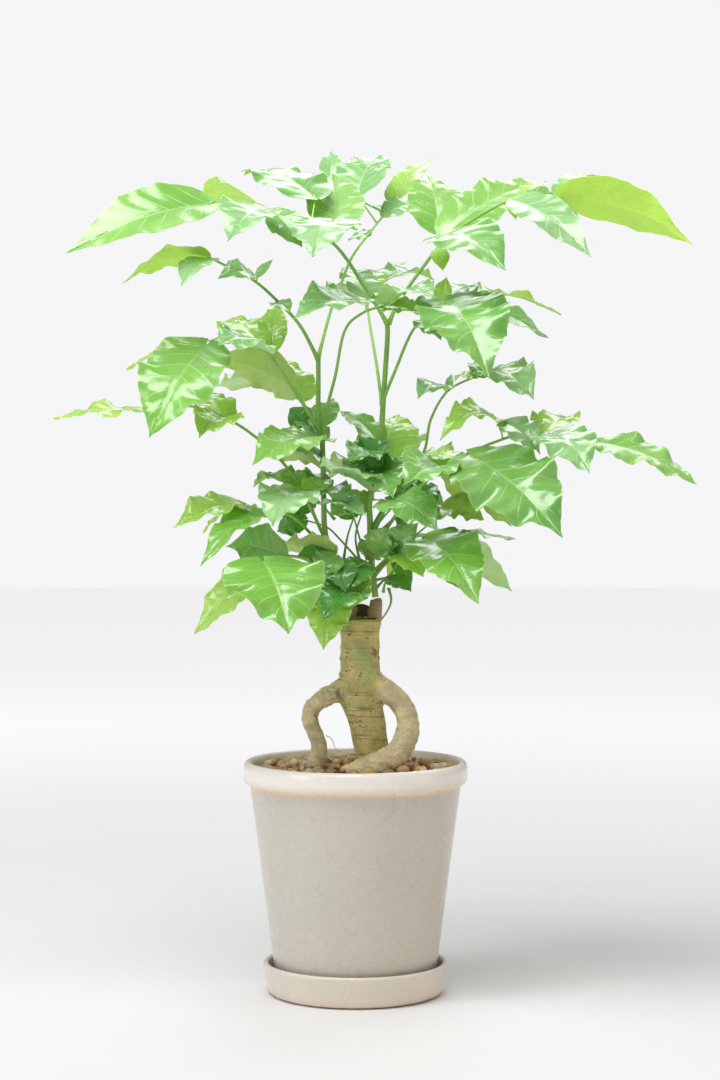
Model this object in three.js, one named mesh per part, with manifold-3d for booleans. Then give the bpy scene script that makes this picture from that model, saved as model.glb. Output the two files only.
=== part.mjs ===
// Potted heteropanax: a glazed pot on its saucer, soil, a gravel top dressing, a bare trunk on two stilt
// roots, and a crown of green stems and stalks with their leaflets.
// Millimetres, +Z up. The origin is the centre of the saucer's underside; the front is towards -Y.
import * as THREE from "three";
import Module from "manifold-3d";

const wasm = await Module();
wasm.setup();

// ---- Pot and saucer ----
const ROUND_STEPS = 48;
const SAUCER_TOP_RADIUS = 70;
const SAUCER_FOOT_RADIUS = 65;
const SAUCER_HEIGHT = 24;
const SAUCER_WALL = 4;
const SAUCER_FLOOR = 5.5;
const POT_BASE = 5.8; // the pot's underside, a hair above the saucer's floor
const POT_BASE_RADIUS = 59.5;
const POT_NECK_RADIUS = 79.7;
const RIM_RADIUS = 85;
const RIM_BOTTOM = 158.7;
const RIM_TOP = 176.3;
const POT_MOUTH_RADIUS = 78.6;
const POT_INSIDE_BASE_RADIUS = 54;
const POT_FLOOR = 13;
const DRAIN_RADIUS = 8;

// ---- Filling ----
const FIT = 0.35; // the gap left between parts that touch
const SOIL_TOP = 158;
const GRAVEL_TOP = 168.5;
const GRAVEL_BUMP = 1;

// ---- Leaflets ----
const BLADE_THICKNESS = 1.4;
const PETIOLULE_HALF = 0.8;
const BLADE_CUP = 0.12; // how far a blade's edges rise, for each millimetre of half width
const BLADE_OUTLINE = [
  // along the blade, half width
  [0.07, 0.5],
  [0.2, 0.92],
  [0.38, 1],
  [0.57, 0.84],
  [0.75, 0.52],
  [0.9, 0.18],
];

const material = (color, roughness, name) =>
  Object.assign(new THREE.MeshStandardMaterial({ color, roughness }), { name });
const GLAZE = material(0xcbc8bd, 0.25, "crackle_glaze");
const SAUCER_GLAZE = material(0xd4cdc3, 0.35, "saucer_glaze");
const SOIL = material(0x4a3a2c, 0.95, "potting_mix");
const GRAVEL = material(0xa88d6c, 0.9, "akadama_gravel");
const BARK = material(0xa08f68, 0.8, "bark");
const STEM = material(0x5f8f3a, 0.5, "green_stem");
const LEAF = material(0x67ad3c, 0.35, "leaf_blade");

const group = new THREE.Group();

// ---- Helpers ----
const vec = (p) => new THREE.Vector3(p[0], p[1], p[2]);
const radians = THREE.MathUtils.degToRad;

// A closed body from rings of the same count, with a fan from each end ring to a point.
function loft(rings, first, last) {
  const count = rings[0].length;
  const points = [first, ...rings.flat(), last];
  const end = points.length - 1;
  const faces = [];
  for (let i = 0; i < count; i++) {
    const next = (i + 1) % count;
    faces.push([0, 1 + next, 1 + i]);
    for (let ring = 0; ring < rings.length - 1; ring++) {
      const low = 1 + ring * count;
      const high = low + count;
      faces.push([low + i, low + next, high + next], [low + i, high + next, high + i]);
    }
    const top = 1 + (rings.length - 1) * count;
    faces.push([top + i, top + next, end]);
  }
  return solidOf(points, faces);
}

function solidOf(points, faces) {
  let volume = 0;
  for (const [a, b, c] of faces) volume += points[a].dot(points[b].clone().cross(points[c]));
  const vertProperties = new Float32Array(points.flatMap((p) => [p.x, p.y, p.z]));
  const triVerts = new Uint32Array(faces.flatMap(([a, b, c]) => (volume < 0 ? [a, c, b] : [a, b, c])));
  return new wasm.Manifold(new wasm.Mesh({ numProp: 3, vertProperties, triVerts }));
}

function geometryOf(solid) {
  const mesh = solid.getMesh();
  const geometry = new THREE.BufferGeometry();
  geometry.setAttribute("position", new THREE.BufferAttribute(new Float32Array(mesh.vertProperties), 3));
  geometry.setIndex(new THREE.BufferAttribute(new Uint32Array(mesh.triVerts), 1));
  return geometry;
}

function add(name, geometry, look) {
  const flat = geometry.index ? geometry.toNonIndexed() : geometry;
  flat.computeVertexNormals();
  const mesh = new THREE.Mesh(flat, look.clone());
  mesh.name = name;
  group.add(mesh);
}

// Turned about +Z from a profile of [radius, height] pairs.
function turned(profile, steps = ROUND_STEPS) {
  const points = profile.map(([r, z]) => new THREE.Vector2(r, z));
  const geometry = new THREE.LatheGeometry(points, steps);
  geometry.rotateX(Math.PI / 2);
  return geometry;
}

// A round bar along a line of points; radiusAt gets 0 to 1.
function tube(line, radiusAt, sides) {
  const rings = [];
  let up = new THREE.Vector3(0, 1, 0.1);
  for (let i = 0; i < line.length; i++) {
    const before = line[Math.max(i - 1, 0)];
    const after = line[Math.min(i + 1, line.length - 1)];
    const forward = after.clone().sub(before).normalize();
    up = up.clone().addScaledVector(forward, -up.dot(forward)).normalize();
    const across = forward.clone().cross(up);
    const radius = radiusAt(i / (line.length - 1), i);
    const ring = [];
    for (let k = 0; k < sides; k++) {
      const angle = (k / sides) * 2 * Math.PI;
      ring.push(
        line[i]
          .clone()
          .addScaledVector(up, radius * Math.cos(angle))
          .addScaledVector(across, radius * Math.sin(angle)),
      );
    }
    rings.push(ring);
  }
  return loft(rings, line[0], line[line.length - 1]);
}

// ---- Saucer ----
add(
  "saucer",
  turned([
    [0, 0],
    [SAUCER_FOOT_RADIUS - 2, 0],
    [SAUCER_FOOT_RADIUS + 1, 1],
    [SAUCER_FOOT_RADIUS + 2.5, 4],
    [SAUCER_TOP_RADIUS, SAUCER_HEIGHT - 2],
    [SAUCER_TOP_RADIUS - 0.6, SAUCER_HEIGHT - 0.5],
    [SAUCER_TOP_RADIUS - SAUCER_WALL / 2, SAUCER_HEIGHT],
    [SAUCER_TOP_RADIUS - SAUCER_WALL + 0.6, SAUCER_HEIGHT - 0.5],
    [SAUCER_TOP_RADIUS - SAUCER_WALL, SAUCER_HEIGHT - 2],
    [SAUCER_FOOT_RADIUS - 1, SAUCER_FLOOR + 3],
    [SAUCER_FOOT_RADIUS - 3, SAUCER_FLOOR],
    [0, SAUCER_FLOOR],
  ]),
  SAUCER_GLAZE,
);

// ---- Pot: a tapered wall, a rolled rim band and a drain hole ----
add(
  "pot",
  turned([
    [DRAIN_RADIUS, POT_BASE + 2],
    [POT_BASE_RADIUS - 12, POT_BASE + 2],
    [POT_BASE_RADIUS - 10, POT_BASE],
    [POT_BASE_RADIUS - 1.5, POT_BASE],
    [POT_BASE_RADIUS + 0.5, POT_BASE + 2.5],
    [POT_NECK_RADIUS, RIM_BOTTOM],
    [RIM_RADIUS - 1.5, RIM_BOTTOM + 1],
    [RIM_RADIUS, RIM_BOTTOM + 4],
    [RIM_RADIUS, RIM_TOP - 4],
    [RIM_RADIUS - 1.2, RIM_TOP - 1],
    [RIM_RADIUS - 3.2, RIM_TOP],
    [POT_MOUTH_RADIUS + 1, RIM_TOP - 0.8],
    [POT_MOUTH_RADIUS, RIM_TOP - 3],
    [POT_MOUTH_RADIUS - 2.5, SOIL_TOP],
    [POT_INSIDE_BASE_RADIUS, POT_FLOOR + 3],
    [POT_INSIDE_BASE_RADIUS - 3, POT_FLOOR],
    [DRAIN_RADIUS, POT_FLOOR],
    [DRAIN_RADIUS, POT_BASE + 2],
  ]),
  GLAZE,
);

// ---- Trunk: one woody piece, with its two stilt roots and two short brown shoots on the cut top ----
const TRUNK = [
  // x, y, z, radius
  [18, 2, 150, 10],
  [15, 0, 168, 13.5],
  [13, 0, 183, 12.8],
  [10, 0, 200, 13.5],
  [7, 0, 214, 14.4],
  [4.5, 0, 226, 17],
  [3.8, 0, 232, 17.2],
  [3.4, 0, 240, 15.6],
  [3.2, 0, 262, 14.8],
  [3.4, 0, 279, 15.4],
  [3.4, 0, 284.6, 14.9],
];
const LEFT_ROOT = [
  [2, 0, 236, 8],
  [-10, -2, 229, 8.5],
  [-24, -5, 223.5, 7.2],
  [-33, -7, 216, 6.8],
  [-34, -8, 207, 6.6],
  [-29, -9, 197, 6.4],
  [-27, -9, 188, 6.6],
  [-30, -10, 177, 7.2],
  [-34, -12, 166, 8],
  [-37, -13, 153, 7],
];
const RIGHT_ROOT = [
  [6, 0, 238, 9],
  [20, -3, 230.5, 9.4],
  [33, -7, 222, 8.6],
  [39, -11, 210, 8.6],
  [38.5, -15, 197, 9],
  [33, -19, 186, 9.6],
  [22, -23, 177, 10.2],
  [8, -25, 171, 10.4],
  [-4, -25, 165, 9.6],
  [-12, -24, 156, 8],
];
const RIGHT_SHOOT = [
  [13.5, 0, 277, 5.6],
  [15.2, 0, 287, 5.5],
  [15.6, 0, 293, 5.2],
  [15.2, 0, 299.2, 4.6],
];
const LEFT_SHOOT = [
  [-2, 2, 278, 4.8],
  [-4, 2, 288, 4.8],
  [-5, 2, 294.4, 4.2],
];

function bark(rows, sides, grow = 0) {
  const line = rows.map(vec);
  return tube(line, (t, i) => rows[i][3] + grow, sides);
}

const trunkParts = (grow) => [
  bark(TRUNK, 14, grow),
  bark(LEFT_ROOT, 10, grow),
  bark(RIGHT_ROOT, 10, grow),
  bark(RIGHT_SHOOT, 8, grow),
  bark(LEFT_SHOOT, 8, grow),
];
add("trunk", geometryOf(wasm.Manifold.union(trunkParts(0))), BARK);
const trunkRoom = wasm.Manifold.union(trunkParts(FIT));

// ---- Soil and gravel, each cut clear of the trunk and roots ----
const insideRadius = (z) =>
  THREE.MathUtils.mapLinear(z, POT_FLOOR + 3, SOIL_TOP, POT_INSIDE_BASE_RADIUS, POT_MOUTH_RADIUS - 2.5) - FIT;

// A solid disc: rings from the bottom's centre out, up the wall and in to the uneven top's centre.
function disc(bottom, top, bump, steps, radiusAt) {
  const unevenness = (i, row) => bump * Math.sin(i * 2.4 + row * 1.7) * Math.cos(i * 1.3 - row * 2.1);
  const rings = [0.5, 1, 1, 0.82, 0.62, 0.42, 0.2].map((part, row) => {
    const ring = [];
    for (let i = 0; i < steps; i++) {
      const angle = (i / steps) * 2 * Math.PI;
      const level = row < 2 ? bottom : top + unevenness(i, row);
      const radius = part * radiusAt(level);
      ring.push(new THREE.Vector3(radius * Math.cos(angle), radius * Math.sin(angle), level));
    }
    return ring;
  });
  return loft(rings, new THREE.Vector3(0, 0, bottom), new THREE.Vector3(0, 0, top));
}

const soil = disc(POT_FLOOR + 3.4, SOIL_TOP - FIT, 0, 36, insideRadius).subtract(trunkRoom);
add("potting_soil", geometryOf(soil), SOIL);

const mouth = (z) => Math.min(insideRadius(SOIL_TOP), POT_MOUTH_RADIUS - FIT) + (z > SOIL_TOP + 2 ? 0.9 : 0);
const gravel = disc(SOIL_TOP, GRAVEL_TOP, GRAVEL_BUMP, 36, mouth).subtract(trunkRoom);
add("gravel_topdressing", geometryOf(gravel), GRAVEL);

// ---- Stems and leaf stalks ----
// name, what it grows from, radius at the start and the end, route
const STALKS = [
  ["main_stem", "trunk", 2.6, 1.9,
    [[15, 0, 300], [12, 0, 328], [11, 0, 355], [11, 0, 378], [19, 0, 419], [21, 0, 449], [24, 0, 494],
      [24, 0, 508]]],
  ["left_stem", "trunk", 2.4, 1.8,
    [[-5, 2, 296], [-9, 4, 313], [-22, 2, 344], [-24, 0, 374], [-25, 0, 415], [-28, -2, 429],
      [-28, -2, 460], [-28, -2, 482]]],
  ["stalk_upper_left", "left_stem", 1.4, 0.9,
    [[-28, -2, 479], [-42, -8, 505], [-60, -16, 524], [-74, -24, 536], [-89, -32, 544],
      [-108, -42, 553]]],
  ["stalk_top_back", "left_stem", 1.3, 0.8,
    [[-28, -1, 481], [-19, 12, 516], [-12, 24, 535], [-3, 42, 559], [12, 60, 581], [28, 78, 602]]],
  ["stalk_back", "main_stem", 1.3, 0.8,
    [[20, 2, 445], [16, 14, 476], [11, 30, 507], [9, 46, 525], [10, 72, 538], [14, 100, 545]]],
  ["stalk_back_low", "main_stem", 1.4, 0.9,
    [[12, 2, 374], [15, 28, 387], [21, 62, 399], [28, 104, 410]]],
  ["stalk_top_left", "main_stem", 1.5, 0.9,
    [[24, -1, 506], [17, -4, 518], [6, -8, 534], [-6, -14, 553], [-19, -20, 567], [-41, -30, 580],
      [-63, -38, 588], [-85, -44, 592], [-105, -48, 593]]],
  ["stalk_top_right", "main_stem", 1.5, 0.9,
    [[25, 1, 506], [31, -2, 520], [43, -6, 538], [63, -12, 564], [75, -14, 575], [104, -20, 592],
      [120, -22, 598], [138, -26, 600], [150, -28, 599]]],
  ["stalk_mid_left", "left_stem", 1.4, 0.9,
    [[-28, -2, 427], [-37, -6, 442], [-45, -10, 454], [-66, -18, 484], [-80, -22, 489],
      [-92, -26, 491], [-106, -32, 489]]],
  ["stalk_centre", "left_stem", 1.4, 0.9,
    [[-25, 0, 415], [-22, -6, 440], [-15, -14, 467], [-8, -20, 500], [5, -20, 513], [21, -18, 519]]],
  ["stalk_upper_right", "main_stem", 1.4, 0.9,
    [[20, 1, 434], [21, -4, 448], [30, -10, 471], [42, -16, 499], [55, -20, 514], [64, -24, 521]]],
  ["stalk_right", "main_stem", 1.4, 0.8,
    [[12, 1, 351], [22, 8, 368], [37, 12, 386], [52, 12, 410], [57, 10, 434], [69, 4, 455],
      [87, -2, 465], [102, -8, 469]]],
  ["stalk_far_right", "main_stem", 1.5, 0.8,
    [[11, -1, 344], [28, -6, 375], [52, -12, 393], [81, -18, 407], [104, -22, 417], [128, -26, 424],
      [152, -30, 422], [178, -36, 418]]],
  ["stalk_low_right", "main_stem", 1.5, 1.0,
    [[12, -1, 331], [24, -10, 353], [41, -22, 376], [60, -34, 394], [78, -44, 405]]],
  ["stalk_base_right", "main_stem", 1.4, 0.9,
    [[13, -1, 315], [24, -6, 327], [36, -12, 336], [52, -20, 346]]],
  ["stalk_low_left", "left_stem", 1.4, 0.9,
    [[-16, 2, 328], [-28, -6, 355], [-39, -10, 378], [-53, -14, 400], [-70, -20, 417],
      [-93, -28, 433], [-125, -36, 444], [-150, -44, 439]]],
  ["stalk_lower_left", "left_stem", 1.3, 0.9,
    [[-14, 3, 323], [-30, -4, 344], [-49, -10, 362], [-66, -16, 363], [-83, -24, 370]]],
  ["stalk_front_left", "left_stem", 1.4, 1.0,
    [[-8, 3, 309], [-21, -14, 318], [-37, -34, 330], [-52, -50, 333], [-66, -62, 330]]],
];

// ---- Leaflets ----
// stalk, letter, 1 for a piece of its own or 0 for one grown together with the stalk, blade's base, tip,
// width, lean towards the front and to the right in degrees, arch
const LEAFLETS = [
  ["stalk_top_left", "a", 1, [-106, -49, 592], [-207, -95, 552], 50, 45, 0, 9],
  ["stalk_top_left", "b", 0, [-75, -38, 594], [-119, 34, 601], 46, -42, 0, 8],
  ["stalk_top_left", "c", 1, [-66, -46, 587], [-91, -100, 560], 48, 30, 0, 9],
  ["stalk_top_left", "d", 1, [-30, -8, 600], [-88, 56, 627], 56, 14, 0, 8],
  ["stalk_top_left", "e", 1, [-17, -34, 580], [-31, -94, 549], 52, 22, 0, 10],
  ["stalk_top_left", "f", 1, [-14, -8, 576], [-18, 50, 624], 44, 0, 0, 5],
  ["stalk_top_left", "g", 0, [-60, -34, 586], [-39, -48, 560], 26, 50, 0, 4],
  ["stalk_top_left", "h", 0, [-12, -24, 574], [4, -34, 585], 10, 60, 0, 2],
  ["stalk_top_back", "a", 1, [1, 54, 608], [18, 95, 643], 44, 0, 0, 6],
  ["stalk_top_back", "b", 1, [29, 83, 606], [61, 130, 645], 26, -30, 20, 4],
  ["stalk_top_back", "c", 0, [25, 70, 597], [14, 86, 603], 12, 20, 0, 2],
  ["stalk_top_back", "d", 0, [22, 64, 593], [50, 74, 603], 26, 30, 0, 4],
  ["stalk_top_back", "e", 0, [10, 58, 577], [-6, 70, 575], 20, 30, 0, 3],
  ["stalk_top_back", "f", 0, [-20, 86, 619], [-19, 112, 649], 18, 0, 0, 4],
  ["stalk_top_right", "a", 0, [64, 44, 579], [56, 90, 628], 44, -4, 0, 8],
  ["stalk_top_right", "b", 1, [67, -2, 572], [146, 34, 617], 52, 32, 0, 10],
  ["stalk_top_right", "c", 1, [64, -26, 570], [108, -90, 540], 52, 38, 0, 12],
  ["stalk_top_right", "d", 1, [118, -30, 596], [170, -85, 550], 36, 45, 0, 8],
  ["stalk_top_right", "e", 1, [151, -30, 598], [244, -75, 560], 46, -42, 0, 13],
  ["stalk_top_right", "f", 0, [126, -20, 598], [167, -10, 586], 26, 30, 0, 7],
  ["stalk_top_right", "g", 0, [62, -14, 561], [65, -28, 544], 14, 40, 0, 2],
  ["stalk_top_right", "h", 0, [117, -20, 597], [119, -26, 582], 12, 40, 0, 2],
  ["stalk_top_right", "i", 0, [125, -16, 600], [142, 10, 614], 16, 20, 0, 2],
  ["stalk_top_right", "j", 0, [149, -22, 602], [189, 20, 618], 20, 10, 0, 6],
  ["stalk_upper_left", "a", 1, [-109, -43, 553], [-169, -72, 532], 32, -26, 0, 9],
  ["stalk_upper_left", "b", 0, [-107, -48, 551], [-125, -92, 529], 26, 10, 0, 6],
  ["stalk_upper_left", "c", 0, [-76, -30, 540], [-101, -48, 537], 24, 45, 0, 6],
  ["stalk_upper_left", "d", 0, [-73, -22, 540], [-62, -10, 554], 8, 30, 0, 1],
  ["stalk_upper_left", "e", 0, [-60, -16, 521], [-48, -40, 513], 16, 30, 0, 2],
  ["stalk_mid_left", "a", 1, [-110, -38, 489], [-148, -94, 420], 62, 40, 0, 10],
  ["stalk_mid_left", "b", 1, [-97, -22, 492], [-174, 10, 472], 34, 12, 0, 8],
  ["stalk_mid_left", "c", 1, [-72, -31, 487], [-99, -82, 487], 42, 42, 0, 8],
  ["stalk_mid_left", "d", 1, [-70, -10, 490], [-104, 40, 510], 42, 20, 0, 6],
  ["stalk_mid_left", "e", 1, [-47, 2, 457], [-108, 36, 483], 42, -55, 0, 6],
  ["stalk_mid_left", "f", 0, [-63, -12, 485], [-60, 20, 523], 22, 0, 0, 4],
  ["stalk_mid_left", "g", 0, [-53, 32, 459], [-109, 100, 462], 46, -24, 0, 5],
  ["stalk_mid_left", "h", 0, [-40, 20, 450], [-60, 64, 484], 32, 0, 0, 4],
  ["stalk_centre", "a", 1, [8, -28, 521], [-45, -76, 506], 44, 26, 0, 8],
  ["stalk_centre", "e", 1, [25, -22, 520], [57, -80, 522], 42, 24, 0, 8],
  ["stalk_centre", "f", 0, [20, -14, 518], [51, -30, 511], 22, 35, 0, 4],
  ["stalk_upper_right", "a", 1, [67, -36, 521], [95, -112, 462], 66, 35, 0, 14],
  ["stalk_upper_right", "b", 0, [67, -14, 521], [157, 20, 514], 34, 8, 0, 11],
  ["stalk_upper_right", "c", 0, [63, -24, 520], [68, -20, 540], 14, 60, 0, 2],
  ["stalk_upper_right", "d", 0, [68, -16, 519], [143, -34, 494], 34, 30, 0, 9],
  ["stalk_upper_right", "e", 0, [50, -20, 508], [63, -48, 492], 22, 40, 0, 3],
  ["stalk_upper_right", "f", 0, [64, -20, 523], [98, 44, 538], 24, 8, 0, 4],
  ["stalk_right", "a", 0, [67, 2, 457], [46, -34, 449], 26, 26, 0, 8],
  ["stalk_right", "b", 0, [91, -2, 465], [75, 14, 463], 16, 25, 0, 5],
  ["stalk_right", "c", 1, [102, -10, 469], [131, -55, 448], 40, 34, 0, 9],
  ["stalk_right", "d", 0, [97, -4, 466], [85, 12, 477], 14, 25, 0, 3],
  ["stalk_right", "e", 0, [70, 4, 457], [73, 10, 469], 6, 30, 0, 1],
  ["stalk_far_right", "a", 1, [108, -20, 430], [62, -46, 418], 36, 22, 0, 16],
  ["stalk_far_right", "b", 0, [110, -30, 431], [136, -50, 408], 28, 35, 0, 6],
  ["stalk_far_right", "c", 1, [144, -36, 423], [168, -97, 395], 46, 38, 0, 10],
  ["stalk_far_right", "d", 1, [179, -38, 417], [249, -66, 386], 34, 30, 0, 7],
  ["stalk_far_right", "e", 0, [141, -24, 424], [170, 22, 433], 30, 10, 0, 7],
  ["stalk_far_right", "f", 0, [137, -28, 425], [132, -20, 441], 10, 40, 0, 1],
  ["stalk_low_right", "a", 1, [84, -52, 407], [147, -122, 349], 72, 40, 0, 10],
  ["stalk_low_right", "b", 1, [65, -46, 397], [35, -96, 386], 44, 38, 0, 8],
  ["stalk_low_right", "c", 0, [77, -38, 403], [36, -14, 401], 30, 14, 0, 6],
  ["stalk_low_right", "d", 0, [69, -32, 397], [117, -20, 354], 42, -30, 0, 6],
  ["stalk_low_right", "e", 0, [61, -28, 392], [73, 0, 418], 16, 0, 0, 2],
  ["stalk_base_right", "a", 1, [52, -26, 344], [89, -92, 300], 52, 38, 0, 12],
  ["stalk_base_right", "b", 0, [49, -8, 343], [120, 30, 303], 40, -30, 0, 9],
  ["stalk_base_right", "c", 0, [44, 4, 342], [123, 30, 343], 34, 3, 0, 6],
  ["stalk_base_right", "d", 0, [30, -2, 331], [42, -10, 306], 14, 40, 0, 3],
  ["stalk_base_right", "e", 0, [35, -16, 335], [50, -52, 318], 30, 40, 0, 5],
  ["stalk_low_left", "a", 1, [-151, -46, 439], [-220, -70, 434], 30, 12, 0, 4],
  ["stalk_low_left", "b", 0, [-95, -34, 433], [-113, -78, 420], 36, 34, 0, 8],
  ["stalk_low_left", "c", 0, [-97, -22, 435], [-121, 14, 457], 30, 0, 0, 5],
  ["stalk_low_left", "d", 0, [-93, -26, 434], [-92, -20, 447], 7, 40, 0, 1],
  ["stalk_low_left", "e", 0, [-43, -8, 383], [-78, 20, 383], 36, 12, 0, 9],
  ["stalk_low_left", "f", 1, [-43, -20, 381], [-60, -84, 356], 44, 28, 0, 9],
  ["stalk_lower_left", "a", 0, [-83, -26, 370], [-133, -62, 354], 34, 24, 0, 7],
  ["stalk_lower_left", "b", 1, [-59, -18, 362], [-112, -84, 327], 32, 16, 0, 14],
  ["stalk_lower_left", "c", 0, [-76, -16, 367], [-116, 8, 348], 26, 14, 0, 8],
  ["stalk_front_left", "a", 1, [-67, -68, 329], [-47, -128, 281], 74, 14, 0, 10],
  ["stalk_front_left", "b", 0, [-53, -36, 331], [-96, -42, 340], 40, 50, 0, 8],
  ["stalk_front_left", "c", 0, [-57, -40, 329], [-119, -46, 275], 36, 40, 0, 8],
  ["stalk_front_left", "d", 1, [-22, -10, 319], [-62, 22, 334], 44, -30, 0, 8],
  ["left_stem", "a", 1, [-25, -6, 419], [-75, -76, 400], 46, 26, 0, 10],
  ["left_stem", "b", 0, [-25, 3, 419], [-51, 30, 442], 26, 10, 0, 5],
  ["left_stem", "c", 0, [-25, 2, 396], [-65, 44, 405], 38, -34, 0, 6],
  ["left_stem", "d", 0, [-24, 1, 404], [-50, -20, 411], 20, 40, 0, 4],
  ["left_stem", "e", 0, [-28, 2, 428], [-17, 30, 451], 24, 10, 0, 3],
  ["left_stem", "f", 0, [-25, -2, 389], [-37, -30, 374], 22, 30, 0, 4],
  ["left_stem", "g", 0, [-24, -1, 380], [-6, -32, 373], 30, 30, 0, 5],
  ["left_stem", "h", 0, [-24, -2, 370], [8, -50, 363], 26, 20, 0, 6],
  ["main_stem", "a", 1, [19, 4, 405], [34, 56, 439], 50, 0, 0, 4],
  ["main_stem", "b", 0, [11, -6, 381], [-26, -70, 400], 44, 24, 0, 7],
  ["main_stem", "c", 0, [17, -2, 410], [-4, -44, 403], 34, 30, 0, 5],
  ["main_stem", "d", 0, [14, -2, 396], [28, -50, 376], 34, 30, 0, 6],
  ["main_stem", "e", 1, [23, -38, 374], [60, -82, 353], 42, 34, 0, 9],
  ["main_stem", "f", 0, [18, 1, 415], [-12, 40, 441], 26, 10, 0, 5],
  ["main_stem", "h", 0, [-1, -20, 307], [-24, -58, 287], 38, 35, 0, 7],
  ["main_stem", "i", 0, [5, -8, 319], [-3, -36, 297], 18, 30, 0, 3],
  ["main_stem", "j", 0, [12, 3, 330], [33, 44, 342], 34, 10, 0, 5],
  ["left_stem", "i", 1, [-16, -2, 301], [-24, -26, 262], 34, 32, 0, 8],
  ["left_stem", "j", 0, [-10, 10, 308], [-40, 34, 305], 34, -20, 0, 6],
  ["stalk_back", "a", 0, [11, 46, 526], [-10, 84, 555], 34, 0, 0, 6],
  ["stalk_back", "b", 0, [12, 64, 535], [9, 100, 553], 24, 0, 0, 4],
  ["stalk_back", "c", 0, [18, 84, 540], [63, 116, 547], 36, 8, 0, 9],
  ["stalk_back", "d", 0, [14, 100, 546], [20, 176, 551], 48, -6, 0, 8],
  ["stalk_back", "e", 0, [10, 60, 531], [-24, 124, 533], 38, 0, 0, 7],
  ["stalk_back_low", "a", 1, [28, 104, 412], [35, 186, 405], 52, 0, 0, 9],
  ["stalk_back_low", "b", 0, [19, 56, 396], [-22, 112, 389], 46, 0, 0, 8],
  ["stalk_back_low", "c", 0, [22, 74, 401], [68, 128, 392], 46, 0, 0, 8],
];

const lines = {};

// Distance of a point from a stalk's surface.
function clearance(point, stalk) {
  let least = Infinity;
  const segment = new THREE.Line3();
  const nearest = new THREE.Vector3();
  for (let i = 0; i < stalk.line.length - 1; i++) {
    segment.set(stalk.line[i], stalk.line[i + 1]).closestPointToPoint(point, true, nearest);
    const radius = stalk.radiusAt((i + 0.5) / (stalk.line.length - 1));
    least = Math.min(least, nearest.distanceTo(point) - radius);
  }
  return least;
}

// The first point from here along a direction at which a ring of this radius stands clear of the stalk.
function clearStart(from, direction, radius, stalk) {
  const point = from.clone();
  const side = new THREE.Vector3(0, 0, 1).cross(direction).normalize();
  const other = side.clone().cross(direction);
  for (let step = 0; step < 60; step++) {
    const corners = [side, other, side.clone().negate(), other.clone().negate()];
    const gaps = corners.map((c) => clearance(point.clone().addScaledVector(c, radius), stalk));
    if (Math.min(...gaps) > FIT) return point;
    point.addScaledVector(direction, 0.25);
  }
  return point;
}

// The nearest point on a stalk's centre line.
function nearestOn(stalk, point) {
  let best = null;
  for (let i = 0; i < stalk.line.length - 1; i++) {
    const found = new THREE.Vector3();
    new THREE.Line3(stalk.line[i], stalk.line[i + 1]).closestPointToPoint(point, true, found);
    if (!best || found.distanceTo(point) < best.distanceTo(point)) best = found;
  }
  return best;
}

for (const [name, parent, startRadius, endRadius, route] of STALKS) {
  const points = route.map(vec);
  if (lines[parent]) {
    const direction = points[1].clone().sub(points[0]).normalize();
    points[0] = clearStart(points[0], direction, startRadius, lines[parent]);
  }
  const curve = new THREE.CatmullRomCurve3(points, false, "centripetal");
  const steps = Math.max(5, Math.round(curve.getLength() / 12));
  const radiusAt = (t) => THREE.MathUtils.lerp(startRadius, endRadius, t);
  lines[name] = { line: curve.getSpacedPoints(steps), radiusAt, joined: [] };
}

// One blade, thin and closed, on a short petiolule from its start to its base.
function blade(start, base, tip, width, lean, side, arch) {
  const length = base.distanceTo(tip);
  const axis = tip.clone().sub(base).normalize();
  const a = radians(lean);
  const b = radians(side);
  const hint = new THREE.Vector3(Math.sin(b), -Math.sin(a) * Math.cos(b), Math.cos(a) * Math.cos(b));
  const normal = hint.addScaledVector(axis, -hint.dot(axis)).normalize();
  const across = axis.clone().cross(normal);
  const at = (t) =>
    base
      .clone()
      .addScaledVector(axis, length * t)
      .addScaledVector(normal, arch * 4 * t * (1 - t));
  const section = (centre, half, thick, lift) => [
    centre.clone().addScaledVector(across, half).addScaledVector(normal, lift),
    centre.clone().addScaledVector(normal, thick / 2),
    centre.clone().addScaledVector(across, -half).addScaledVector(normal, lift),
    centre.clone().addScaledVector(normal, -thick / 2),
  ];
  const rings = [section(base, PETIOLULE_HALF, BLADE_THICKNESS, 0)];
  for (const [t, part] of BLADE_OUTLINE) {
    const half = (width / 2) * part;
    rings.push(section(at(t), half, BLADE_THICKNESS, half * BLADE_CUP));
  }
  const limb = loft(rings, base, tip);
  if (start.distanceTo(base) < 0.1) return limb;
  const foot = base.clone().addScaledVector(axis, 2);
  return limb.add(tube([start, base.clone().lerp(start, 0.1), foot], () => PETIOLULE_HALF, 4));
}

for (const [stalkName, letter, own, from, to, width, lean, side, arch] of LEAFLETS) {
  const stalk = lines[stalkName];
  const tip = vec(to);
  const foot = nearestOn(stalk, vec(from));
  const base = vec(from);
  const toBase = base.clone().sub(foot);
  const direction = (toBase.length() > 4 ? toBase.clone() : tip.clone().sub(foot)).normalize();
  const start = own ? clearStart(foot, direction, PETIOLULE_HALF, stalk) : foot;
  if (toBase.length() <= 4 || base.clone().sub(start).dot(direction) < 2) base.copy(start);
  const solid = blade(start, base, tip, width, lean, side, arch);
  const name = `leaflet_${stalkName.replace("stalk_", "")}_${letter}`;
  if (own) add(name, geometryOf(solid.simplify(0.05)), LEAF);
  else stalk.joined.push(solid);
}

for (const [name] of STALKS) {
  const { line, radiusAt, joined } = lines[name];
  const bar = tube(line, radiusAt, 6);
  add(name, geometryOf(wasm.Manifold.union([bar, ...joined]).simplify(0.05)), STEM);
}

export default group;
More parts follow.
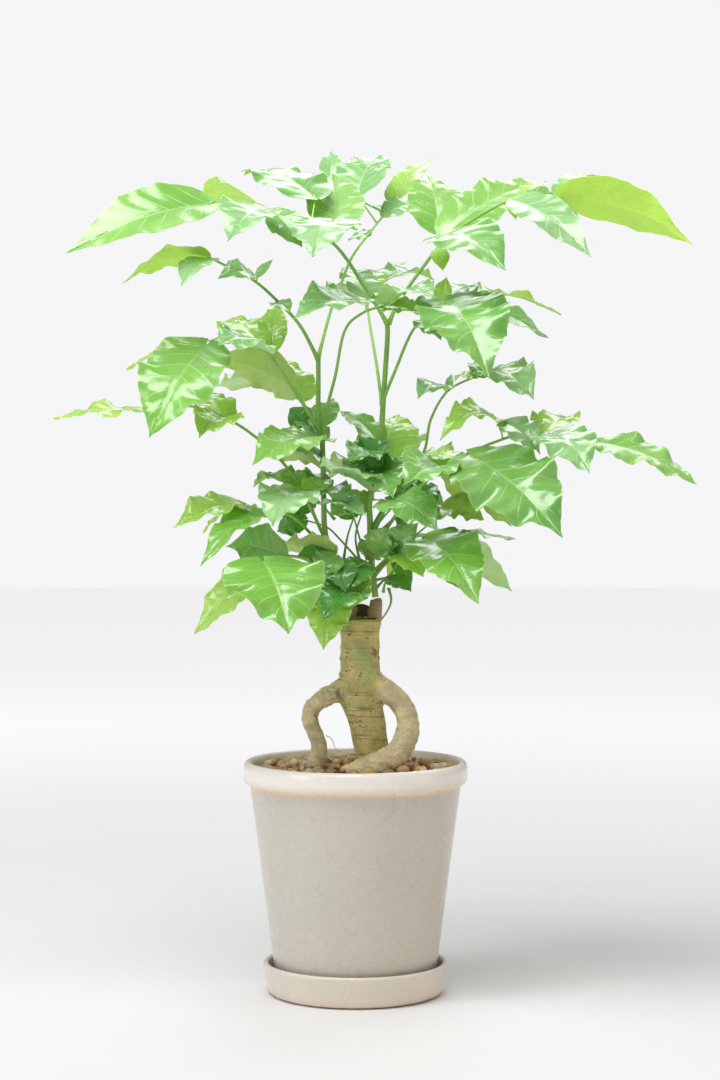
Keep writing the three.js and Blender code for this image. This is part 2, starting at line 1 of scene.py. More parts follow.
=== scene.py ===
# Potted heteropanax, laid out as an add-on: each operator below makes one part of the potted plant around the
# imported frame, and the panel lists them. Sizes in the tables are in millimetres; everything made is in metres.
import math
import random

import bpy
import numpy as np
from bpy.props import FloatProperty, FloatVectorProperty, IntProperty, PointerProperty
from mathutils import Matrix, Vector


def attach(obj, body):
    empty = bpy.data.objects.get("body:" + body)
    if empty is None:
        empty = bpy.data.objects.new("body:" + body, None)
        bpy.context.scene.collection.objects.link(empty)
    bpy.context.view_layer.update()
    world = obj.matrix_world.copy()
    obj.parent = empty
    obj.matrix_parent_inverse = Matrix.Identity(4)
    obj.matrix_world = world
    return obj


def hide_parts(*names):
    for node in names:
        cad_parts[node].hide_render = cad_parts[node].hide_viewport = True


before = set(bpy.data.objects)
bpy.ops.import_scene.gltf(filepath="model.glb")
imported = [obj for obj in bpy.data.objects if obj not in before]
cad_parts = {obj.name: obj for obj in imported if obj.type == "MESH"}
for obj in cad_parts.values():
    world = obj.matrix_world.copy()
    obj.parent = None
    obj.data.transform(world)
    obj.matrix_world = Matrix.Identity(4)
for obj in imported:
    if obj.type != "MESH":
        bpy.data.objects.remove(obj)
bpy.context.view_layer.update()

bl_info = {
    "name": "Potted Heteropanax",
    "version": (1, 0, 0),
    "blender": (4, 5, 0),
    "location": "View3D > Sidebar > Heteropanax",
    "description": "A house plant with a bare trunk on stilt roots, in a glazed pot on a saucer",
    "category": "Add Mesh",
}

MM = 0.001

# The top dressing: how far from the axis pebbles are tried, how far they may reach, and the height of its mound
GRAVEL_TRIED = 76.5
GRAVEL_REACH = 77.6
GRAVEL_TOP = 174.4
PEBBLE_SIZES = [0.62, 0.8, 0.95, 1.05, 1.2, 1.45]
PEBBLE_SHARES = [0.50, 0.24, 0.20, 0.06]

# The trunk's ring scars: height, how far they stand out, breadth
RING_SCARS = [
    (230.5, 1.5, 1.3), (241.5, 1.0, 0.9), (253, 0.9, 0.9), (263, 0.45, 0.8),
    (272, 0.4, 0.8), (219, 0.5, 1.0), (204, 0.4, 1.0),
]

# The stems and leaf stalks: name, what it grows from, radius at its start and end, route
STALKS = [
    ("main_stem", "trunk", 2.6, 1.9, [
        (15, 0, 300), (12, 0, 328), (11, 0, 355), (11, 0, 378), (19, 0, 419), (21, 0, 449),
        (24, 0, 494), (24, 0, 508)
    ]),
    ("left_stem", "trunk", 2.4, 1.8, [
        (-5, 2, 296), (-9, 4, 313), (-22, 2, 344), (-24, 0, 374), (-25, 0, 415), (-28, -2, 429),
        (-28, -2, 460), (-28, -2, 482)
    ]),
    ("stalk_upper_left", "left_stem", 1.4, 0.9, [
        (-28, -2, 479), (-42, -8, 505), (-60, -16, 524), (-74, -24, 536), (-89, -32, 544),
        (-108, -42, 553)
    ]),
    ("stalk_top_back", "left_stem", 1.3, 0.8, [
        (-28, -1, 481), (-19, 12, 516), (-12, 24, 535), (-3, 42, 559), (12, 60, 581), (28, 78, 602)
    ]),
    ("stalk_back", "main_stem", 1.3, 0.8, [
        (20, 2, 445), (16, 14, 476), (11, 30, 507), (9, 46, 525), (10, 72, 538), (14, 100, 545)
    ]),
    ("stalk_back_low", "main_stem", 1.4, 0.9, [
        (12, 2, 374), (15, 28, 387), (21, 62, 399), (28, 104, 410)
    ]),
    ("stalk_top_left", "main_stem", 1.5, 0.9, [
        (24, -1, 506), (17, -4, 518), (6, -8, 534), (-6, -14, 553), (-19, -20, 567),
        (-41, -30, 580), (-63, -38, 588), (-85, -44, 592), (-105, -48, 593)
    ]),
    ("stalk_top_right", "main_stem", 1.5, 0.9, [
        (25, 1, 506), (31, -2, 520), (43, -6, 538), (63, -12, 564), (75, -14, 575), (104, -20, 592),
        (120, -22, 598), (138, -26, 600), (150, -28, 599)
    ]),
    ("stalk_mid_left", "left_stem", 1.4, 0.9, [
        (-28, -2, 427), (-37, -6, 442), (-45, -10, 454), (-66, -18, 484), (-80, -22, 489),
        (-92, -26, 491), (-106, -32, 489)
    ]),
    ("stalk_centre", "left_stem", 1.4, 0.9, [
        (-25, 0, 415), (-22, -6, 440), (-15, -14, 467), (-8, -20, 500), (5, -20, 513),
        (21, -18, 519)
    ]),
    ("stalk_upper_right", "main_stem", 1.4, 0.9, [
        (20, 1, 434), (21, -4, 448), (30, -10, 471), (42, -16, 499), (55, -20, 514), (64, -24, 521)
    ]),
    ("stalk_right", "main_stem", 1.4, 0.8, [
        (12, 1, 351), (22, 8, 368), (37, 12, 386), (52, 12, 410), (57, 10, 434), (69, 4, 455),
        (87, -2, 465), (102, -8, 469)
    ]),
    ("stalk_far_right", "main_stem", 1.5, 0.8, [
        (11, -1, 344), (28, -6, 375), (52, -12, 393), (81, -18, 407), (104, -22, 417),
        (128, -26, 424), (152, -30, 422), (178, -36, 418)
    ]),
    ("stalk_low_right", "main_stem", 1.5, 1.0, [
        (12, -1, 331), (24, -10, 353), (41, -22, 376), (60, -34, 394), (78, -44, 405)
    ]),
    ("stalk_base_right", "main_stem", 1.4, 0.9, [
        (13, -1, 315), (24, -6, 327), (36, -12, 336), (52, -20, 346)
    ]),
    ("stalk_low_left", "left_stem", 1.4, 0.9, [
        (-16, 2, 328), (-28, -6, 355), (-39, -10, 378), (-53, -14, 400), (-70, -20, 417),
        (-93, -28, 433), (-125, -36, 444), (-150, -44, 439)
    ]),
    ("stalk_lower_left", "left_stem", 1.3, 0.9, [
        (-14, 3, 323), (-30, -4, 344), (-49, -10, 362), (-66, -16, 363), (-83, -24, 370)
    ]),
    ("stalk_front_left", "left_stem", 1.4, 1.0, [
        (-8, 3, 309), (-21, -14, 318), (-37, -34, 330), (-52, -50, 333), (-66, -62, 330)
    ]),
    ("twig_a", "main_stem", 0.9, 0.6, [(21, -4, 304), (22, -7, 310), (24, -10, 314)]),
    ("twig_b", "main_stem", 0.9, 0.6, [(16, 2, 307), (22, 6, 313), (27, 8, 316)]),
    ("twig_c", "main_stem", 0.9, 0.6, [(11, -3, 319), (13, -8, 327), (17, -10, 334)]),
    ("twig_d", "main_stem", 0.9, 0.6, [(12, -3, 318), (20, -9, 327), (27, -14, 334)]),
    ("twig_e", "main_stem", 0.9, 0.6, [
        (15, -4, 313), (26, -8, 317), (36, -12, 333), (51, -20, 343), (63, -26, 347)
    ]),
    ("twig_f", "left_stem", 0.9, 0.6, [(-7, -2, 310), (-10, -10, 324), (-16, -18, 334)]),
    ("twig_g", "left_stem", 0.9, 0.6, [(-4, -6, 308), (-9, -18, 323), (-15, -24, 332)]),
    ("twig_h", "main_stem", 0.9, 0.6, [(11, -5, 310), (11, -12, 318), (9, -16, 325)]),
    ("twig_i", "main_stem", 0.9, 0.6, [(9, -5, 303), (7, -10, 306), (6, -13, 309)]),
    ("twig_j", "main_stem", 0.9, 0.6, [
        (25, -3, 307), (27, -6, 298), (24, -10, 290), (18, -13, 282)
    ]),
    ("twig_k", "main_stem", 0.9, 0.6, [(6, -3, 324), (-12, 0, 344), (-22, 4, 353), (-38, 8, 358)]),
    ("twig_l", "left_stem", 0.9, 0.6, [(-9, 2, 328), (-6, 3, 346), (-1, 5, 361)]),
    ("twig_m", "main_stem", 0.9, 0.6, [(3, 2, 328), (0, 5, 346), (5, 9, 364)]),
    ("twig_n", "main_stem", 0.9, 0.6, [(9, 2, 334), (16, 6, 353), (29, 10, 369)]),
    ("twig_o", "main_stem", 0.9, 0.6, [(11, 3, 324), (22, 8, 340), (31, 11, 352), (32, 13, 364)]),
    ("twig_p", "main_stem", 0.9, 0.6, [(9, 0, 328), (3, -3, 345), (-3, -5, 368)]),
    ("twig_q", "main_stem", 0.9, 0.6, [
        (11, -2, 317), (30, -8, 335), (52, -14, 353), (66, -18, 367)
    ]),
    ("twig_r", "left_stem", 0.9, 0.6, [(-9, 4, 319), (-25, 12, 349), (-33, 16, 367)]),
    ("twig_s", "main_stem", 0.9, 0.6, [(10, -1, 385), (8, -5, 393), (5, -8, 402)]),
    ("twig_t", "left_stem", 0.9, 0.6, [(-25, 2, 427), (-31, 6, 429), (-38, 9, 431)]),
    ("twig_u", "main_stem", 0.9, 0.6, [(10, -3, 374), (14, -8, 383), (19, -13, 393)]),
    ("twig_v", "main_stem", 0.9, 0.6, [(12, 4, 343), (28, 14, 358), (48, 26, 369)]),
    ("twig_w", "left_stem", 0.9, 0.6, [(-16, 4, 359), (-26, 16, 370), (-35, 28, 379)]),
]

# The leaflets: stalk, letter, 1 for a CAD node of its own, blade's base, tip, width, lean to the front and to the
# right in degrees, arch, tone of the leaf, how ruffled its margin is
LEAFLETS = [
    ("stalk_top_left", "a", 1, (-106, -49, 592), (-207, -95, 552), 50, 45, 0, 9, "fresh", 0.3),
    ("stalk_top_left", "b", 0, (-75, -38, 594), (-119, 34, 601), 46, -42, 0, 8, "lime", 0.5),
    ("stalk_top_left", "c", 1, (-66, -46, 587), (-91, -100, 560), 48, 30, 0, 9, "painted_sheen", 0.5),
    ("stalk_top_left", "d", 1, (-30, -8, 600), (-88, 56, 627), 56, 14, 0, 8, "mid", 0.6),
    ("stalk_top_left", "e", 1, (-17, -34, 580), (-31, -94, 549), 52, 22, 0, 10, "painted_sheen", 0.6),
    ("stalk_top_left", "f", 1, (-14, -8, 576), (-18, 50, 624), 44, 0, 0, 5, "fresh", 0.5),
    ("stalk_top_left", "g", 0, (-60, -34, 586), (-39, -48, 560), 26, 50, 0, 4, "mid", 0.7),
    ("stalk_top_left", "h", 0, (-12, -24, 574), (4, -34, 585), 10, 60, 0, 2, "painted_sheen", 0.3),
    ("stalk_top_back", "a", 1, (1, 54, 608), (18, 95, 643), 44, 0, 0, 6, "painted_sheen", 0.8),
    ("stalk_top_back", "b", 1, (29, 83, 606), (61, 130, 645), 26, -30, 20, 4, "lime", 0.3),
    ("stalk_top_back", "c", 0, (25, 70, 597), (14, 86, 603), 12, 20, 0, 2, "mid", 0.5),
    ("stalk_top_back", "d", 0, (22, 64, 593), (50, 74, 603), 26, 30, 0, 4, "painted_sheen", 0.6),
    ("stalk_top_back", "e", 0, (10, 58, 577), (-6, 70, 575), 20, 30, 0, 3, "painted_sheen", 0.6),
    ("stalk_top_back", "f", 0, (-20, 86, 619), (-19, 112, 649), 18, 0, 0, 4, "painted_sheen", 0.4),
    ("stalk_top_right", "a", 0, (64, 44, 579), (56, 90, 628), 44, -4, 0, 8, "fresh", 0.5),
    ("stalk_top_right", "b", 1, (67, -2, 572), (146, 34, 617), 52, 32, 0, 10, "fresh", 0.6),
    ("stalk_top_right", "c", 1, (64, -26, 570), (108, -90, 540), 52, 38, 0, 12, "mid", 0.5),
    ("stalk_top_right", "d", 1, (118, -30, 596), (170, -85, 550), 36, 45, 0, 8, "painted_sheen", 0.6),
    ("stalk_top_right", "e", 1, (151, -30, 598), (244, -75, 560), 46, -42, 0, 13, "lime", 0.3),
    ("stalk_top_right", "f", 0, (126, -20, 598), (167, -10, 586), 26, 30, 0, 7, "mid", 0.5),
    ("stalk_top_right", "g", 0, (62, -14, 561), (65, -28, 544), 14, 40, 0, 2, "lime", 0.5),
    ("stalk_top_right", "h", 0, (117, -20, 597), (119, -26, 582), 12, 40, 0, 2, "lime", 0.5),
    ("stalk_top_right", "i", 0, (125, -16, 600), (142, 10, 614), 16, 20, 0, 2, "lime", 0.6),
    ("stalk_top_right", "j", 0, (149, -22, 602), (189, 20, 618), 20, 10, 0, 6, "fresh", 0.4),
    ("stalk_upper_left", "a", 1, (-109, -43, 553), (-169, -72, 532), 32, -26, 0, 9, "lime", 0.6),
    ("stalk_upper_left", "b", 0, (-107, -48, 551), (-125, -92, 529), 26, 10, 0, 6, "painted_sheen", 0.5),
    ("stalk_upper_left", "c", 0, (-76, -30, 540), (-101, -48, 537), 24, 45, 0, 6, "painted_sheen", 0.6),
    ("stalk_upper_left", "d", 0, (-73, -22, 540), (-62, -10, 554), 8, 30, 0, 1, "painted_sheen", 0.3),
    ("stalk_upper_left", "e", 0, (-60, -16, 521), (-48, -40, 513), 16, 30, 0, 2, "fresh", 0.6),
    ("stalk_mid_left", "a", 1, (-110, -38, 489), (-148, -94, 420), 62, 40, 0, 10, "fresh", 0.9),
    ("stalk_mid_left", "b", 1, (-97, -22, 492), (-174, 10, 472), 34, 12, 0, 8, "lime", 1.2),
    ("stalk_mid_left", "c", 1, (-72, -31, 487), (-99, -82, 487), 42, 42, 0, 8, "painted_sheen", 1.0),
    ("stalk_mid_left", "d", 1, (-70, -10, 490), (-104, 40, 510), 42, 20, 0, 6, "lime", 0.9),
    ("stalk_mid_left", "e", 1, (-47, 2, 457), (-108, 36, 483), 42, -55, 0, 6, "olive", 0.7),
    ("stalk_mid_left", "f", 0, (-63, -12, 485), (-60, 20, 523), 22, 0, 0, 4, "lime", 0.8),
    ("stalk_mid_left", "g", 0, (-53, 32, 459), (-109, 100, 462), 46, -24, 0, 5, "painted_sheen", 0.8),
    ("stalk_mid_left", "h", 0, (-40, 20, 450), (-60, 64, 484), 32, 0, 0, 4, "lime", 0.8),
    ("stalk_centre", "a", 1, (8, -28, 521), (-45, -76, 506), 44, 26, 0, 8, "painted_sheen", 0.8),
    ("stalk_centre", "e", 1, (25, -22, 520), (57, -80, 522), 42, 24, 0, 8, "painted_sheen", 0.8),
    ("stalk_centre", "f", 0, (20, -14, 518), (51, -30, 511), 22, 35, 0, 4, "lime", 0.8),
    ("stalk_upper_right", "a", 1, (67, -36, 521), (95, -112, 462), 66, 35, 0, 14, "mid", 0.9),
    ("stalk_upper_right", "b", 0, (67, -14, 521), (157, 20, 514), 34, 8, 0, 11, "lime", 0.9),
    ("stalk_upper_right", "c", 0, (63, -24, 520), (68, -20, 540), 14, 60, 0, 2, "lime", 0.7),
    ("stalk_upper_right", "d", 0, (68, -16, 519), (143, -34, 494), 34, 30, 0, 9, "painted_sheen", 0.9),
    ("stalk_upper_right", "e", 0, (50, -20, 508), (63, -48, 492), 22, 40, 0, 3, "painted_sheen", 0.9),
    ("stalk_upper_right", "f", 0, (64, -20, 523), (98, 44, 538), 24, 8, 0, 4, "fresh", 0.8),
    ("stalk_right", "a", 0, (67, 2, 457), (46, -34, 449), 26, 26, 0, 8, "painted_sheen", 0.8),
    ("stalk_right", "b", 0, (91, -2, 465), (75, 14, 463), 16, 25, 0, 5, "lime", 0.7),
    ("stalk_right", "c", 1, (102, -10, 469), (131, -55, 448), 40, 34, 0, 9, "painted_sheen", 0.9),
    ("stalk_right", "d", 0, (97, -4, 466), (85, 12, 477), 14, 25, 0, 3, "mid", 0.8),
    ("stalk_right", "e", 0, (70, 4, 457), (73, 10, 469), 6, 30, 0, 1, "painted_sheen", 0.3),
    ("stalk_far_right", "a", 1, (108, -20, 430), (62, -46, 418), 36, 22, 0, 16, "lime", 1.0),
    ("stalk_far_right", "b", 0, (110, -30, 431), (136, -50, 408), 28, 35, 0, 6, "painted_sheen", 0.9),
    ("stalk_far_right", "c", 1, (144, -36, 423), (168, -97, 395), 46, 38, 0, 10, "painted_sheen", 1.0),
    ("stalk_far_right", "d", 1, (179, -38, 417), (249, -66, 386), 34, 30, 0, 7, "fresh", 1.1),
    ("stalk_far_right", "e", 0, (141, -24, 424), (170, 22, 433), 30, 10, 0, 7, "lime", 1.0),
    ("stalk_far_right", "f", 0, (137, -28, 425), (132, -20, 441), 10, 40, 0, 1, "lime", 0.8),
    ("stalk_low_right", "a", 1, (84, -52, 407), (147, -122, 349), 72, 40, 0, 10, "mid", 1.0),
    ("stalk_low_right", "b", 1, (65, -46, 397), (35, -96, 386), 44, 38, 0, 8, "mid", 0.9),
    ("stalk_low_right", "c", 0, (77, -38, 403), (36, -14, 401), 30, 14, 0, 6, "lime", 0.9),
    ("stalk_low_right", "d", 0, (69, -32, 397), (117, -20, 354), 42, -30, 0, 6, "olive", 0.9),
    ("stalk_low_right", "e", 0, (61, -28, 392), (73, 0, 418), 16, 0, 0, 2, "lime", 0.8),
    ("stalk_base_right", "a", 1, (52, -26, 344), (89, -92, 300), 52, 38, 0, 12, "fresh", 0.9),
    ("stalk_base_right", "b", 0, (49, -8, 343), (120, 30, 303), 40, -30, 0, 9, "painted_sheen", 0.9),
    ("stalk_base_right", "c", 0, (44, 4, 342), (123, 30, 343), 34, 3, 0, 6, "painted_sheen", 1.0),
    ("stalk_base_right", "d", 0, (30, -2, 331), (42, -10, 306), 14, 40, 0, 3, "dark", 0.5),
    ("stalk_base_right", "e", 0, (35, -16, 335), (50, -52, 318), 30, 40, 0, 5, "lime", 0.8),
    ("stalk_low_left", "a", 1, (-151, -46, 439), (-220, -70, 434), 30, 12, 0, 4, "lime", 1.3),
    ("stalk_low_left", "b", 0, (-95, -34, 433), (-113, -78, 420), 36, 34, 0, 8, "lime", 1.0),
    ("stalk_low_left", "c", 0, (-97, -22, 435), (-121, 14, 457), 30, 0, 0, 5, "lime", 1.0),
    ("stalk_low_left", "d", 0, (-93, -26, 434), (-92, -20, 447), 7, 40, 0, 1, "lime", 0.6),
    ("stalk_low_left", "e", 0, (-43, -8, 383), (-78, 20, 383), 36, 12, 0, 9, "mid", 0.9),
    ("stalk_low_left", "f", 1, (-43, -20, 381), (-60, -84, 356), 44, 28, 0, 9, "painted_sheen", 0.9),
    ("stalk_lower_left", "a", 0, (-83, -26, 370), (-133, -62, 354), 34, 24, 0, 7, "lime", 0.9),
    ("stalk_lower_left", "b", 1, (-59, -18, 362), (-112, -84, 327), 32, 16, 0, 14, "fresh", 0.9),
    ("stalk_lower_left", "c", 0, (-76, -16, 367), (-116, 8, 348), 26, 14, 0, 8, "lime", 0.9),
    ("stalk_front_left", "a", 1, (-67, -68, 329), (-47, -128, 281), 74, 14, 0, 10, "fresh", 0.9),
    ("stalk_front_left", "b", 0, (-53, -36, 331), (-96, -42, 340), 40, 50, 0, 8, "painted_sheen", 0.9),
    ("stalk_front_left", "c", 0, (-57, -40, 329), (-119, -46, 275), 36, 40, 0, 8, "lime", 0.9),
    ("stalk_front_left", "d", 1, (-22, -10, 319), (-62, 22, 334), 44, -30, 0, 8, "olive", 0.8),
    ("left_stem", "a", 1, (-25, -6, 419), (-75, -76, 400), 46, 26, 0, 10, "fresh", 0.9),
    ("left_stem", "b", 0, (-25, 3, 419), (-51, 30, 442), 26, 10, 0, 5, "painted_sheen", 0.8),
    ("left_stem", "c", 0, (-25, 2, 396), (-65, 44, 405), 38, -34, 0, 6, "olive", 0.8),
    ("left_stem", "d", 0, (-24, 1, 404), (-50, -20, 411), 20, 40, 0, 4, "painted_sheen", 0.8),
    ("left_stem", "e", 0, (-28, 2, 428), (-17, 30, 451), 24, 10, 0, 3, "fresh", 0.8),
    ("left_stem", "f", 0, (-25, -2, 389), (-37, -30, 374), 22, 30, 0, 4, "lime", 0.8),
    ("left_stem", "g", 0, (-24, -1, 380), (-6, -32, 373), 30, 30, 0, 5, "painted_sheen", 0.8),
    ("left_stem", "h", 0, (-24, -2, 370), (8, -50, 363), 26, 20, 0, 6, "painted_sheen", 0.8),
    ("main_stem", "a", 1, (19, 4, 405), (34, 56, 439), 50, 0, 0, 4, "lime", 0.5),
    ("main_stem", "b", 0, (11, -6, 381), (-26, -70, 400), 44, 24, 0, 7, "painted_sheen", 0.8),
    ("main_stem", "c", 0, (17, -2, 410), (-4, -44, 403), 34, 30, 0, 5, "dark", 0.9),
    ("main_stem", "d", 0, (14, -2, 396), (28, -50, 376), 34, 30, 0, 6, "mid", 0.9),
    ("main_stem", "e", 1, (23, -38, 374), (60, -82, 353), 42, 34, 0, 9, "mid", 0.9),
    ("main_stem", "f", 0, (18, 1, 415), (-12, 40, 441), 26, 10, 0, 5, "fresh", 0.8),
    ("main_stem", "h", 0, (-1, -20, 307), (-24, -58, 287), 38, 35, 0, 7, "dark", 0.9),
    ("main_stem", "i", 0, (5, -8, 319), (-3, -36, 297), 18, 30, 0, 3, "lime", 0.6),
    ("main_stem", "j", 0, (12, 3, 330), (33, 44, 342), 34, 10, 0, 5, "mid", 0.9),
    ("left_stem", "i", 1, (-16, -2, 301), (-24, -26, 262), 34, 32, 0, 8, "lime", 0.9),
    ("left_stem", "j", 0, (-10, 10, 308), (-40, 34, 305), 34, -20, 0, 6, "dark", 0.9),
    ("stalk_back", "a", 0, (11, 46, 526), (-10, 84, 555), 34, 0, 0, 6, "painted_sheen", 0.7),
    ("stalk_back", "b", 0, (12, 64, 535), (9, 100, 553), 24, 0, 0, 4, "lime", 0.6),
    ("stalk_back", "c", 0, (18, 84, 540), (63, 116, 547), 36, 8, 0, 9, "fresh", 0.7),
    ("stalk_back", "d", 0, (14, 100, 546), (20, 176, 551), 48, -6, 0, 8, "mid", 0.8),
    ("stalk_back", "e", 0, (10, 60, 531), (-24, 124, 533), 38, 0, 0, 7, "mid", 0.8),
    ("stalk_back_low", "a", 1, (28, 104, 412), (35, 186, 405), 52, 0, 0, 9, "mid", 0.9),
    ("stalk_back_low", "b", 0, (19, 56, 396), (-22, 112, 389), 46, 0, 0, 8, "mid", 0.9),
    ("stalk_back_low", "c", 0, (22, 74, 401), (68, 128, 392), 46, 0, 0, 8, "mid", 0.9),
    ("twig_a", "a", 0, (24, -10, 314), (42, -18, 305), 17, 50, 25, 3, "dark", 0.5),
    ("twig_b", "a", 0, (27, 8, 316), (54, 18, 329), 30, -58, 10, 4, "lime", 0.7),
    ("twig_c", "a", 0, (17, -10, 334), (25, -18, 354), 26, 62, -15, 4, "fresh", 0.8),
    ("twig_c", "b", 0, (17, -10, 334), (32, -24, 341), 20, 60, 20, 3, "mid", 0.8),
    ("twig_d", "a", 0, (27, -14, 334), (47, -24, 357), 24, 58, 15, 4, "mid", 0.9),
    ("twig_d", "b", 0, (27, -14, 334), (35, -6, 353), 20, 50, -10, 3, "dark", 0.9),
    ("twig_e", "a", 0, (63, -26, 347), (93, -30, 328), 30, 52, 25, 5, "dark", 0.8),
    ("twig_e", "b", 0, (60, -24, 344), (84, -34, 303), 30, 58, 10, 6, "mid", 0.9),
    ("twig_f", "a", 0, (-16, -18, 334), (-49, -32, 344), 24, -40, 10, 4, "olive", 0.9),
    ("twig_f", "b", 0, (-17, -16, 332), (-44, -24, 332), 22, 48, 0, 4, "dark", 0.8),
    ("twig_g", "a", 0, (-15, -24, 332), (-29, -34, 317), 24, 62, -10, 4, "mid", 0.9),
    ("twig_g", "b", 0, (-14, -22, 329), (-7, -40, 306), 24, 66, 10, 4, "dark", 0.8),
    ("twig_h", "a", 0, (9, -16, 325), (-14, -34, 306), 28, 60, -15, 5, "dark", 0.8),
    ("twig_h", "b", 0, (9, -15, 323), (-1, -24, 314), 15, -40, 0, 3, "olive", 0.7),
    ("twig_i", "a", 0, (6, -13, 309), (-1, -22, 294), 17, 68, -8, 3, "lime", 0.6),
    ("twig_k", "a", 0, (-38, 8, 358), (-60, 12, 349), 24, 52, -10, 4, "dark", 0.9),
    ("twig_l", "a", 0, (-1, 5, 361), (-12, 12, 374), 22, 48, -10, 3, "mid", 0.9),
    ("twig_m", "a", 0, (5, 9, 364), (-8, 16, 380), 24, 45, 0, 4, "olive", 0.9),
    ("twig_n", "a", 0, (29, 10, 369), (49, 18, 375), 28, 46, 15, 4, "dark", 0.9),
    ("twig_o", "a", 0, (32, 13, 364), (42, 20, 351), 24, 55, 10, 4, "mid", 0.9),
    ("twig_p", "a", 0, (-3, -5, 368), (-19, -16, 361), 22, 52, -15, 4, "fresh", 0.9),
    ("twig_q", "a", 0, (66, -18, 367), (96, -24, 359), 30, 40, 15, 4, "olive", 0.9),
    ("twig_r", "a", 0, (-33, 16, 367), (-52, 24, 373), 26, 50, -15, 4, "dark", 0.9),
    ("twig_s", "a", 0, (5, -8, 402), (25, -14, 417), 26, 58, 15, 4, "dark", 0.9),
    ("twig_s", "b", 0, (5, -8, 402), (-8, -18, 391), 22, 52, -15, 4, "mid", 0.9),
    ("twig_t", "a", 0, (-38, 9, 431), (-50, 14, 443), 20, 55, -10, 3, "dark", 0.9),
    ("twig_u", "a", 0, (19, -13, 393), (34, -22, 376), 28, 60, 15, 4, "mid", 0.9),
    ("twig_u", "b", 0, (19, -13, 393), (37, -8, 401), 24, 50, 10, 4, "dark", 0.9),
    ("twig_v", "a", 0, (48, 26, 369), (74, 40, 364), 30, 46, 15, 5, "mid", 0.9),
    ("twig_v", "b", 0, (46, 26, 369), (63, 38, 384), 28, 46, 0, 5, "dark", 0.9),
    ("twig_w", "a", 0, (-35, 28, 379), (-58, 44, 384), 32, 46, -15, 5, "mid", 0.9),
    ("twig_w", "b", 0, (-33, 28, 378), (-26, 42, 393), 28, 46, 0, 5, "dark", 0.9),
]

# Trunk and roots: x, y, z, radius
TRUNK = [
    (18, 2, 152, 10), (15.5, 0, 166, 14), (13, 0, 181, 13.2), (10.5, 0, 196, 13.4), (8, 0, 209, 14.0),
    (5.5, 0, 219, 15.2), (4, 0, 227, 16.6), (3.8, 0, 232, 16.4), (3.4, 0, 238, 15.4), (3.2, 0, 250, 14.9),
    (3.2, 0, 262, 14.7), (3.4, 0, 275, 15.0), (3.4, 0, 284.2, 15.2),
]
LEFT_ROOT = [
    (2, 0, 236, 8), (-10, -2, 230, 8.6), (-22, -5, 225, 7.2), (-31.5, -7, 218, 6.6), (-34.5, -8, 209, 6.3),
    (-31, -9, 199, 6.0), (-27.5, -9, 190, 6.2), (-28.5, -10, 180, 6.7), (-33, -12, 168, 7.6), (-37, -13, 155, 7),
]
RIGHT_ROOT = [
    (6, 0, 238, 9), (19, -3, 231, 9.4), (31, -6, 223.5, 8.6), (38.5, -10, 212, 8.5), (39, -14, 199, 8.8),
    (34, -19, 187, 9.4), (23, -23, 178, 10), (9, -25, 172, 10.4), (-4, -25, 166, 9.6), (-12, -24, 157, 8),
]
RIGHT_SHOOT = [(13.5, 0, 277, 5.6), (15, 0, 287, 5.4), (15.6, 0, 294, 5.0), (15.2, 0, 299.2, 4.4)]
LEFT_SHOOT = [(-2, 2, 278, 5), (-4, 2, 288, 4.8), (-5, 2, 294.2, 4.1)]
OLD_STUB = [(5, 6, 278, 8.5), (5, 7, 287, 8), (6, 7, 292, 6), (7, 7, 295, 3)]
ROOTLET = [(-22, -10, 196), (-18, -14, 194), (-15, -15, 187), (-11, -16, 184)]

# Radius and height rows of the two turned pieces, from the inside of the foot round to where they began
SAUCER_PROFILE = [
    (2, 0), (40, 0), (60, 0), (63, 0.2), (65.2, 1.2), (66.6, 3.2), (67.2, 6), (68.2, 12), (69.2, 18), (69.8, 21.4),
    (69.9, 22.6), (69.4, 23.5), (68.5, 24), (67.4, 24), (66.5, 23.5), (66.1, 22.4), (65.7, 18), (65, 12), (64.2, 8.4),
    (63.4, 6.8), (61.8, 5.8), (59, 5.5), (40, 5.4), (2, 5.4),
]
POT_PROFILE = [
    (8, 8), (30, 7.8), (47.5, 7.8), (48.6, 7), (49.2, 5.9), (57.5, 5.9), (59.2, 6.4), (60.1, 7.8), (60.5, 10),
    (62.4, 24), (65.6, 50), (69, 76), (72.4, 102), (75.8, 128), (78.8, 150), (79.6, 156.6), (79.9, 158.6),
    (80.6, 159.4), (82.4, 159.6), (83.9, 160.6), (84.8, 162.6), (85, 165.4), (85, 170.4), (84.6, 173), (83.7, 175),
    (82.2, 176.1), (80.8, 176.2), (79.6, 175.7), (78.9, 174.4), (78.6, 172), (78, 166), (76.1, 158), (54.4, 16),
    (53.4, 14), (51, 13), (30, 13), (8, 13), (8, 8),
]


# ---- Settings ----
def colour(label, default, note):
    return FloatVectorProperty(name=label, description=note, subtype="COLOR", size=3, min=0, max=1, default=default)


def length(label, default, note):
    return FloatProperty(name=label, description=note, subtype="DISTANCE", unit="LENGTH", default=default, min=0)


class HeteropanaxPotSettings(bpy.types.PropertyGroup):
    glaze: colour("Glaze", (0.60, 0.565, 0.485), "Colour of the pot's body")
    rim: colour("Rim", (0.88, 0.83, 0.765), "Colour of the rim band")
    # The warm thin-glaze colour also paints the soft shadow along the foot of the pot's rim band: painted shade.
    edge: colour("Edge", (0.78, 0.50, 0.29), "Warm colour where the glaze thins under the rim")
    saucer: colour("Saucer", (0.76, 0.68, 0.575), "Colour of the saucer")
    crackle: length("Crackle size", 0.0085, "Width of a cell of the crackle glaze")


